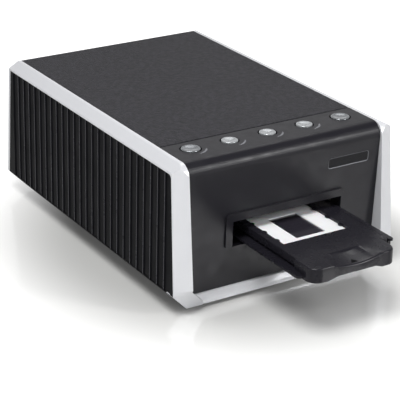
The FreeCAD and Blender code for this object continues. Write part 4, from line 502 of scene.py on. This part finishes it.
# Record slot to the finish of the nodes that carry it.
SLOT_FINISHES = {
    "silver_paint": silver_lacquered_abs,
    "black_side": black_moulded_abs,
    "grained_top": leather_grained_abs,
    "cover_black": spark_textured_abs,
    "black_base": black_base_abs,
    "badge": black_anodised_plate,
    "key_silver": satin_lacquered_keys,
    "rubber": moulded_rubber,
    "holder_black": black_moulded_nylon,
    "rack_grey": black_moulded_nylon,
    "slide_white": white_polystyrene,
    "film": developed_film,
    "gear_white": natural_acetal,
    "steel": zinc_plated_steel,
    "brass": turned_brass,
    "motor_steel": zinc_plated_steel,
    "circuit_board": solder_masked_board,
    "chip_black": moulded_epoxy,
    "connector_black": moulded_inlet_nylon,
    "lamp": phosphor_coated_glass,
    "lamp_metal": folded_aluminium,
    "diffuser": opal_acrylic,
    "bench": coated_die_casting,
    "mirror": silvered_mirror,
    "lens_metal": black_anodised_barrel,
    "lens_glass": coated_lens_glass,
    "sensor": ceramic_package,
}
finishes = {}


def finish_of(maker):
    """Make a finish once and hand it out again."""
    if maker.__name__ not in finishes:
        finishes[maker.__name__] = maker()
    return finishes[maker.__name__]


def paint(piece, maker):
    """Give a piece one finish."""
    piece.data.materials.clear()
    piece.data.materials.append(finish_of(maker))


def node_slot(node):
    """The record's material slot of a CAD node."""
    return next(row["material_slot"] for row in frame["record"]["subparts"] if row["node"] == node)


def finish_nodes(*nodes):
    """Give CAD nodes that keep their own shape the finish of their slot."""
    for node in nodes:
        paint(frame["nodes"][node], SLOT_FINISHES[node_slot(node)])


# ---------------------------------------------------------------- shapes

def link(name, mesh):
    """A scene object round a mesh."""
    piece = bpy.data.objects.new(name, mesh)
    bpy.context.scene.collection.objects.link(piece)
    return piece


# Faces that turn less than the first angle shade as one; corners of more than the second are
# rounded; faces within the third are one flat face.
SMOOTH_ANGLE = math.radians(35)
MOULDED_ANGLE = math.radians(28)
FLAT_ANGLE = math.radians(0.4)
WELD_DISTANCE = 0.001 * MM
MOULDED_SEGMENTS = 2
WIDE_SEGMENTS = 4


def smooth(piece):
    """Smooth shading that stops at real edges, with the large faces kept flat."""
    for face in piece.data.polygons:
        face.use_smooth = True
    piece.data.set_sharp_from_angle(angle=SMOOTH_ANGLE)
    weights = piece.modifiers.new("flat_faces", "WEIGHTED_NORMAL")
    weights.mode = "FACE_AREA"
    weights.keep_sharp = True


def is_corner(edge):
    """Whether two faces meet here at more than the angle that a mould rounds."""
    return edge.calc_face_angle(0) > MOULDED_ANGLE


def softened(node, name, radius, body=HOUSING, finish=None, wide=0.0, is_wide=None,
             is_crisp=None, pierced=False):
    """A CAD node's own shape with its moulded edges rounded, in place of the sharp one.

    The edges that is_wide picks are rounded first, by the wide radius; those of is_crisp stay.
    A pierced node keeps its triangles, because one large face can't hold windows."""
    work = bmesh.new()
    work.from_mesh(frame["nodes"][node].data)
    bmesh.ops.remove_doubles(work, verts=work.verts, dist=WELD_DISTANCE)
    if not pierced:
        bmesh.ops.dissolve_limit(work, angle_limit=FLAT_ANGLE, verts=work.verts, edges=work.edges)
    if is_wide:
        picked = [edge for edge in work.edges if is_corner(edge) and is_wide(edge)]
        bmesh.ops.bevel(work, geom=picked, offset=wide, offset_type="OFFSET",
                        segments=WIDE_SEGMENTS, profile=0.5, affect="EDGES", clamp_overlap=False)
    if is_crisp:
        weight = work.edges.layers.float.new("bevel_weight_edge")
        for edge in work.edges:
            edge[weight] = float(is_corner(edge) and not is_crisp(edge))
    mesh = bpy.data.meshes.new(name)
    work.to_mesh(mesh)
    work.free()
    piece = link(name, mesh)
    edges = piece.modifiers.new("moulded_edges", "BEVEL")
    edges.width = radius
    edges.segments = MOULDED_SEGMENTS
    edges.limit_method = "WEIGHT" if is_crisp else "ANGLE"
    edges.angle_limit = MOULDED_ANGLE
    edges.use_clamp_overlap = True
    edges.miter_outer = "MITER_ARC"
    smooth(piece)
    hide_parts(node)
    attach(piece, body)
    paint(piece, finish or SLOT_FINISHES[node_slot(node)])
    return piece


def solid_strip(name, rows, thickness, body, maker):
    """A thin closed solid over rows of points, each row the same length, raised along +Z."""
    work = bmesh.new()
    low = [[work.verts.new(point) for point in row] for row in rows]
    rise = Vector((0, 0, thickness))
    high = [[work.verts.new(point + rise) for point in row] for row in rows]
    for layer, turn in ((low, 1), (high, -1)):
        for row, following in zip(layer, layer[1:]):
            for index in range(len(row) - 1):
                corners = (row[index], following[index], following[index + 1], row[index + 1])
                work.faces.new(corners[::turn])
    border = [*low[0], *(row[-1] for row in low[1:-1]), *reversed(low[-1]),
              *(row[0] for row in reversed(low[1:-1]))]
    roof = dict(zip((vertex for row in low for vertex in row),
                    (vertex for row in high for vertex in row)))
    for here, there in zip(border, border[1:] + border[:1]):
        work.faces.new((here, there, roof[there], roof[here]))
    bmesh.ops.recalc_face_normals(work, faces=work.faces)
    mesh = bpy.data.meshes.new(name)
    work.to_mesh(mesh)
    work.free()
    piece = link(name, mesh)
    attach(piece, body)
    paint(piece, maker)
    return piece


# ---------------------------------------------------------------- pieces

# The sill's edges are rounded by this share of the frames' rounding.
SILL_SHARE = 0.8


class SCANNER_OT_frames(bpy.types.Operator):
    """Silver side frames and the sill between their toes"""
    bl_idname = "scanner.frames"
    bl_label = "Silver frames"

    def execute(self, context):
        for side in ("left", "right"):
            softened(f"side_frame_{side}", f"silver_frame_{side}", size("frame_edge"))
        softened("front_sill", "silver_sill", SILL_SHARE * size("frame_edge"))
        return {"FINISHED"}


# A ridge's crown faces straight out and is narrower than this along Y.
FACING_OUT = 0.95
RIDGE_CROWN = 2.0 * MM


class SCANNER_OT_ribbed_sides(bpy.types.Operator):
    """Ribbed black panels in the side frames"""
    bl_idname = "scanner.ribbed_sides"
    bl_label = "Ribbed sides"

    def execute(self, context):
        for side in ("left", "right"):
            panel = softened(f"ribbed_panel_{side}", f"ribbed_side_{side}", size("ridge_edge"))
            # The ridges' crowns get the paler finish, a painted highlight where they catch the
            # light.
            panel.data.materials.append(finish_of(rubbed_ridge_abs))
            for face in panel.data.polygons:
                along = [panel.data.vertices[index].co.y for index in face.vertices]
                if abs(face.normal.x) > FACING_OUT and max(along) - min(along) < RIDGE_CROWN:
                    face.material_index = 1
        return {"FINISHED"}


class SCANNER_OT_front_cover(bpy.types.Operator):
    """Front cover with the strip under the keys, and the slot's tunnel behind it"""
    bl_idname = "scanner.front_cover"
    bl_label = "Front cover"

    def execute(self, context):
        softened("front_cover", "front_cover_shell", size("cover_edge"), pierced=True)
        finish_nodes("slot_liner")
        return {"FINISHED"}


class SCANNER_OT_top(bpy.types.Operator):
    """Grained top panel"""
    bl_idname = "scanner.top"
    bl_label = "Grained top"

    def execute(self, context):
        softened("top_panel", "grained_top_shell", size("cover_edge"))
        return {"FINISHED"}


class SCANNER_OT_rear_and_base(bpy.types.Operator):
    """Rear panel with its vents and sockets, base pan, feet and case screws"""
    bl_idname = "scanner.rear_and_base"
    bl_label = "Rear, base and feet"

    def execute(self, context):
        paint(frame["nodes"]["rear_panel"], spark_textured_abs)
        finish_nodes("base_pan", "usb_socket", "power_inlet", "case_screws", "foot_front_left",
                     "foot_front_right", "foot_rear_left", "foot_rear_right")
        return {"FINISHED"}


class SCANNER_OT_keys(bpy.types.Operator):
    """Five round keys, the end ones larger and darker"""
    bl_idname = "scanner.keys"
    bl_label = "Keys"

    def execute(self, context):
        for number in range(1, 6):
            maker = deep_lacquered_keys if number in (1, 5) else satin_lacquered_keys
            softened(f"key_{number}", f"round_key_{number}", size("key_edge"), f"key_{number}_cap",
                     finish=maker)
        finish_nodes("key_board", "key_switches")
        return {"FINISHED"}


# The keys with an arc, the arc's two ends round its key, and the share of the ink's width there.
MARKED_KEYS = (1, 2, 3, 4)
MARK_START = math.radians(-84)
MARK_END = math.radians(-24)
MARK_STEPS = 14
MARK_END_WIDTH = 0.35
INK_THICKNESS = 0.04 * MM


class SCANNER_OT_key_marks(bpy.types.Operator):
    """Plain printed arcs beside the first four keys"""
    bl_idname = "scanner.key_marks"
    bl_label = "Printed arcs"

    def execute(self, context):
        strip_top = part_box("front_cover")[1].z
        key_low, key_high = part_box("key_3")
        arc_radius = (key_high.x - key_low.x) / 2 + size("mark_gap")
        for number in MARKED_KEYS:
            low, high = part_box(f"key_{number}")
            middle = (low + high) / 2
            foot = Vector((middle.x, middle.y, strip_top))
            inner, outer = [], []
            for step in range(MARK_STEPS + 1):
                share = step / MARK_STEPS
                angle = MARK_START + share * (MARK_END - MARK_START)
                swell = MARK_END_WIDTH + (1 - MARK_END_WIDTH) * math.sin(math.pi * share)
                half = size("mark_width") / 2 * swell
                out = Vector((math.cos(angle), math.sin(angle), 0))
                inner.append(foot + out * (arc_radius - half))
                outer.append(foot + out * (arc_radius + half))
            solid_strip(f"key_arc_{number}", [inner, outer], INK_THICKNESS, HOUSING,
                        pad_printed_ink)
        return {"FINISHED"}


# The plate's edge rounding and the sunk field's depth, as shares of the rim's width.
BADGE_EDGE_SHARE = 0.1
BADGE_SINK_SHARE = 0.4


class SCANNER_OT_badge(bpy.types.Operator):
    """Bare badge plate with its milled rim"""
    bl_idname = "scanner.badge"
    bl_label = "Badge plate"

    def execute(self, context):
        plate = softened("badge_plate", "badge_with_rim", BADGE_EDGE_SHARE * size("badge_rim"))
        plate.data.materials.append(finish_of(milled_badge_rim))
        work = bmesh.new()
        work.from_mesh(plate.data)
        front = max((face for face in work.faces if face.normal.y < 0),
                    key=lambda face: face.calc_area())
        rim = bmesh.ops.inset_region(work, faces=[front], thickness=size("badge_rim"),
                                     depth=-BADGE_SINK_SHARE * size("badge_rim"),
                                     use_even_offset=True)
        for part in rim["faces"]:
            part.material_index = 1
        work.to_mesh(plate.data)
        work.free()
        return {"FINISHED"}


# The grip, measured back from the holder's front and down from its top.
GRIP_FRONT = 11.0 * MM
GRIP_TOP = 5.0 * MM
# The thumb dish: from the holder's left and right sides to its ends, its run back from the
# holder's front, and the part of the grip's edge at each end that keeps the small rounding.
DISH_FROM_LEFT, DISH_FROM_RIGHT = 18.8 * MM, 13.4 * MM
DISH_START = 2.5 * MM
DISH_REAR = 22.0 * MM
DISH_END_GAP = 3.0 * MM
DISH_MARGIN = 1.0 * MM
# A face whose normal rises less than this counts as a wall.
STEEP = 0.35
# The arrow: from the holder's left side and front to its tip, its rows, its half width for each
# unit of length, and how blunt the tip is, as a share of one row.
ARROW_FROM_LEFT, ARROW_FROM_FRONT = 38.4 * MM, 6.4 * MM
ARROW_ROWS = 5
ARROW_SPREAD = 0.72
ARROW_BLUNT = 0.1
ARROW_SIDES = (-1, -0.5, 0, 0.5, 1)
# Rays that look for a surface start this high, well above the part.
RAY_HEIGHT = 1.0


def drop_onto(node, places):
    """The points of a CAD node's upper surface at some places in plan."""
    mesh = frame["nodes"][node].data
    surface = BVHTree.FromPolygons([vertex.co for vertex in mesh.vertices],
                                   [face.vertices for face in mesh.polygons])
    down = Vector((0, 0, -1))
    points = [surface.ray_cast(Vector((x, y, RAY_HEIGHT)), down)[0] for x, y in places]
    if None in points:
        raise RuntimeError(f"{node} doesn't reach under every place")
    return points


class SCANNER_OT_holder(bpy.types.Operator):
    """Film holder with its rack and the arrow in its thumb dish"""
    bl_idname = "scanner.holder"
    bl_label = "Film holder"

    def execute(self, context):
        low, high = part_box("holder_body")
        dish_left, dish_right = low.x + DISH_FROM_LEFT, high.x - DISH_FROM_RIGHT

        def on_grip(edge):
            """The upper front edge of the grip, away from the ends of the dish."""
            middle = (edge.verts[0].co + edge.verts[1].co) / 2
            walls = [abs(face.normal.z) < STEEP for face in edge.link_faces]
            at_front = middle.y < low.y + GRIP_FRONT and middle.z > high.z - GRIP_TOP
            clear = all(abs(middle.x - end) > DISH_END_GAP for end in (dish_left, dish_right))
            return at_front and clear and any(walls) and not all(walls)

        def in_dish(edge):
            """The border of the dish behind the grip's front edge."""
            middle = (edge.verts[0].co + edge.verts[1].co) / 2
            across = dish_left - DISH_MARGIN < middle.x < dish_right + DISH_MARGIN
            along = low.y + DISH_START < middle.y < low.y + DISH_REAR
            return across and along and middle.z > high.z - GRIP_TOP

        softened("holder_body", "film_holder", size("holder_edge"), HOLDER,
                 wide=size("grip_edge"), is_wide=on_grip, is_crisp=in_dish, pierced=True)
        finish_nodes("holder_rack")
        tip = Vector((low.x + ARROW_FROM_LEFT, low.y + ARROW_FROM_FRONT))
        rows = []
        for step in range(ARROW_ROWS + 1):
            back = size("arrow_length") * max(step, ARROW_BLUNT) / ARROW_ROWS
            half = ARROW_SPREAD * back
            rows.append(drop_onto("holder_body", [
                (tip.x + side * half, tip.y - back) for side in ARROW_SIDES]))
        solid_strip("dish_arrow", rows, INK_THICKNESS, HOLDER, pad_printed_black)
        return {"FINISHED"}


class SCANNER_OT_slide(bpy.types.Operator):
    """Slide mount in the first pocket and its film"""
    bl_idname = "scanner.slide"
    bl_label = "Slide"

    def execute(self, context):
        softened("slide_mount", "slide_in_first_pocket", size("slide_edge"), HOLDER,
                 pierced=True)
        finish_nodes("slide_film")
        return {"FINISHED"}


class SCANNER_OT_insides(bpy.types.Operator):
    """Guides, drive, lamp, optics and electronics inside the housing"""
    bl_idname = "scanner.insides"
    bl_label = "Insides"

    def execute(self, context):
        finish_nodes("guide_left", "guide_right", "chassis_plate")
        finish_nodes("drive_gear", "gear_post", "motor_pinion", "feed_motor")
        finish_nodes("lamp_housing", "lamp_tube", "diffuser")
        finish_nodes("optics_bench", "fold_mirror", "lens_barrel", "lens_glass")
        finish_nodes("sensor_board", "line_sensor", "main_board", "board_components")
        return {"FINISHED"}


# ---------------------------------------------------------------- stage

class SCANNER_OT_stage(bpy.types.Operator):
    """Floor, soft light and camera"""
    bl_idname = "scanner.stage"
    bl_label = "Floor, light and camera"

    def execute(self, context):
        build_floor()
        build_light()
        build_camera()
        return {"FINISHED"}


# Half the table's width, its share of gloss and how sharp that is.
TABLE_REACH = 6.0
TABLE_GLOSS = 0.24
TABLE_ROUGHNESS = 0.14
# An ellipse round the object, in metres. Across the span of distances, counted in it, the
# camera sees the table lifted from its own tone, which keeps the shadow, to white; nearer the
# object the lift stays low, which paints a shadow round it.
SHADOW_ELLIPSE = (0.3, 0.36)
SHADOW_FADE_START, SHADOW_FADE_END = 0.3, 0.68
LIFT_NEAR, LIFT_FAR = 0.05, 0.8


def build_floor():
    """Pale glossy table top that keeps the shadow, a faint reflection and a painted shadow round
    the object.
    """
    mesh = bpy.data.meshes.new("table_top")
    corners = [(-1, -1), (1, -1), (1, 1), (-1, 1)]
    mesh.from_pydata([(x * TABLE_REACH, y * TABLE_REACH, 0) for x, y in corners], [],
                     [(0, 1, 2, 3)])
    floor = link("table_top", mesh)
    material = bpy.data.materials.new("white_acrylic_table")
    material.use_nodes = True
    tree = material.node_tree
    tree.nodes.clear()
    matt = add_node(tree, "ShaderNodeBsdfDiffuse", values={"Color": colour("table")})
    gloss = add_node(tree, "ShaderNodeBsdfGlossy",
                     values={"Color": WHITE, "Roughness": TABLE_ROUGHNESS})
    body = add_node(tree, "ShaderNodeMixShader", values={"Fac": TABLE_GLOSS},
                    links={1: matt.outputs[0], 2: gloss.outputs[0]})
    place = add_node(tree, "ShaderNodeTexCoord").outputs["Object"]
    around = add_node(tree, "ShaderNodeMapping",
                      values={"Scale": (1 / SHADOW_ELLIPSE[0], 1 / SHADOW_ELLIPSE[1], 1.0)},
                      links={"Vector": place}).outputs["Vector"]
    distance = add_node(tree, "ShaderNodeVectorMath", {"operation": "LENGTH"},
                        links={0: around}).outputs["Value"]
    # Painted shadow: the camera's lift falls away near the object, darkening the table round it.
    clear = add_node(tree, "ShaderNodeMapRange", {"interpolation_type": "SMOOTHSTEP"}, {
        "From Min": SHADOW_FADE_START, "From Max": SHADOW_FADE_END, "To Min": LIFT_NEAR, "To Max": LIFT_FAR,
    }, {"Value": distance}).outputs["Result"]
    rays = add_node(tree, "ShaderNodeLightPath")
    lift = add_node(tree, "ShaderNodeMath", {"operation": "MULTIPLY"},
                    links={0: rays.outputs["Is Camera Ray"], 1: clear})
    glow = add_node(tree, "ShaderNodeEmission", values={"Color": WHITE},
                    links={"Strength": lift.outputs[0]})
    total = add_node(tree, "ShaderNodeAddShader", links={0: body.outputs[0], 1: glow.outputs[0]})
    add_node(tree, "ShaderNodeOutputMaterial", links={"Surface": total.outputs[0]})
    mesh.materials.append(material)


# Each softbox: its name, its place and the point it faces, its width and height, in metres,
# and its power in watts. The rear one shows in the thumb dish and the keys.
SOFTBOXES = (
    ("softbox_key", (0.52, -0.85, 0.58), (0, 0, 0.05), 0.17, 0.4, 4.5),
    ("softbox_top", (-0.4, -0.28, 1.1), (0, 0, 0.05), 0.5, 0.5, 12.6),
    ("softbox_rear", (0.5, 0.62, 0.86), (0, -0.1, 0.05), 0.5, 0.26, 1.0),
)
# The room's brightness at its walls and its ceiling, and the heights between which it falls.
WALL_LEVEL, CEILING_LEVEL = 0.95, 0.14
WALL_HEIGHT, CEILING_HEIGHT = 0.02, 0.6


def soft_lamp(name, place, target, width, height, power):
    """A rectangular studio softbox aimed at a point."""
    data = bpy.data.lights.new(name, "AREA")
    data.shape = "RECTANGLE"
    data.size = width
    data.size_y = height
    data.energy = power
    lamp = bpy.data.objects.new(name, data)
    lamp.location = place
    aim = Vector(target) - Vector(place)
    lamp.rotation_euler = aim.to_track_quat("-Z", "Y").to_euler()
    bpy.context.scene.collection.objects.link(lamp)


def build_light():
    """A room with pale walls and a dim ceiling, and three softboxes."""
    world = bpy.data.worlds.new("studio")
    bpy.context.scene.world = world
    world.use_nodes = True
    tree = world.node_tree
    tree.nodes.clear()
    heading = add_node(tree, "ShaderNodeTexCoord").outputs["Generated"]
    height = add_node(tree, "ShaderNodeSeparateXYZ", links={"Vector": heading}).outputs["Z"]
    room = add_node(tree, "ShaderNodeMapRange", {"interpolation_type": "SMOOTHSTEP"}, {
        "From Min": WALL_HEIGHT, "From Max": CEILING_HEIGHT,
        "To Min": WALL_LEVEL, "To Max": CEILING_LEVEL,
    }, {"Value": height}).outputs["Result"]
    rays = add_node(tree, "ShaderNodeLightPath")
    seen = add_node(tree, "ShaderNodeMath", {"operation": "MAXIMUM"},
                    links={0: rays.outputs["Is Camera Ray"],
                           1: rays.outputs["Is Transmission Ray"]})
    level = add_node(tree, "ShaderNodeMath", {"operation": "MAXIMUM"},
                     links={0: seen.outputs[0], 1: room})
    sky = add_node(tree, "ShaderNodeBackground", values={"Color": WHITE},
                   links={"Strength": level.outputs[0]})
    add_node(tree, "ShaderNodeOutputWorld", links={"Surface": sky.outputs[0]})
    for softbox in SOFTBOXES:
        soft_lamp(*softbox)


# The camera's sensor and lens, the direction it looks from with its slight roll, the point it
# looks at, how far it stands from that point and how far it sees, in metres.
SENSOR_MM = 36.0
LENS_MM = 138.19
CAMERA_AZIMUTH, CAMERA_ELEVATION, CAMERA_ROLL = (
    math.radians(angle) for angle in (-31.15, 23.21, 0.22))
CAMERA_TARGET = Vector((-31.77, -31.99, 50.0)) * MM
CAMERA_DISTANCE = 1.0472
CAMERA_REACH = 20.0


def build_camera():
    """Camera at the three-quarter view from above the left front."""
    data = bpy.data.cameras.new("studio_camera")
    data.sensor_width = SENSOR_MM
    data.lens = LENS_MM
    data.clip_end = CAMERA_REACH
    camera = bpy.data.objects.new("studio_camera", data)
    level = math.cos(CAMERA_ELEVATION)
    back = Vector((math.sin(CAMERA_AZIMUTH) * level, -math.cos(CAMERA_AZIMUTH) * level,
                   math.sin(CAMERA_ELEVATION)))
    right = Vector((0, 0, 1)).cross(back).normalized()
    up = back.cross(right)
    turned_right = right * math.cos(CAMERA_ROLL) + up * math.sin(CAMERA_ROLL)
    turned_up = up * math.cos(CAMERA_ROLL) - right * math.sin(CAMERA_ROLL)
    place = Matrix((turned_right, turned_up, back)).transposed().to_4x4()
    place.translation = CAMERA_TARGET + back * CAMERA_DISTANCE
    camera.matrix_world = place
    bpy.context.scene.collection.objects.link(camera)
    bpy.context.scene.camera = camera
    bpy.context.scene.view_settings.view_transform = "Standard"


# ---------------------------------------------------------------- add-on

OPERATORS = (
    SCANNER_OT_frames,
    SCANNER_OT_ribbed_sides,
    SCANNER_OT_front_cover,
    SCANNER_OT_top,
    SCANNER_OT_rear_and_base,
    SCANNER_OT_keys,
    SCANNER_OT_key_marks,
    SCANNER_OT_badge,
    SCANNER_OT_holder,
    SCANNER_OT_slide,
    SCANNER_OT_insides,
    SCANNER_OT_stage,
)


class SCANNER_PT_panel(bpy.types.Panel):
    """Sizes, colours and pieces of the slide scanner"""
    bl_label = "Slide Scanner"
    bl_idname = "SCANNER_PT_panel"
    bl_space_type = "VIEW_3D"
    bl_region_type = "UI"
    bl_category = "Slide Scanner"

    def draw(self, context):
        for group in (context.scene.scanner_sizes, context.scene.scanner_colours):
            box = self.layout.box()
            for name in group.bl_rna.properties.keys():
                if name not in ("rna_type", "name"):
                    box.prop(group, name)
        for operator in OPERATORS:
            self.layout.operator(operator.bl_idname)


CLASSES = (ScannerSizes, ScannerColours, *OPERATORS, SCANNER_PT_panel)


def register():
    """Add the sizes, the colours, the operators and the panel to Blender."""
    for kind in CLASSES:
        bpy.utils.register_class(kind)
    bpy.types.Scene.scanner_sizes = PointerProperty(type=ScannerSizes)
    bpy.types.Scene.scanner_colours = PointerProperty(type=ScannerColours)


def unregister():
    """Take them out again, the last one first."""
    del bpy.types.Scene.scanner_colours
    del bpy.types.Scene.scanner_sizes
    for kind in reversed(CLASSES):
        bpy.utils.unregister_class(kind)


def main():
    """Make every piece in order, then the stage."""
    register()
    bpy.ops.scanner.frames()
    bpy.ops.scanner.ribbed_sides()
    bpy.ops.scanner.front_cover()
    bpy.ops.scanner.top()
    bpy.ops.scanner.rear_and_base()
    bpy.ops.scanner.keys()
    bpy.ops.scanner.key_marks()
    bpy.ops.scanner.badge()
    bpy.ops.scanner.holder()
    bpy.ops.scanner.slide()
    bpy.ops.scanner.insides()
    bpy.ops.scanner.stage()


if __name__ == "__main__":
    main()
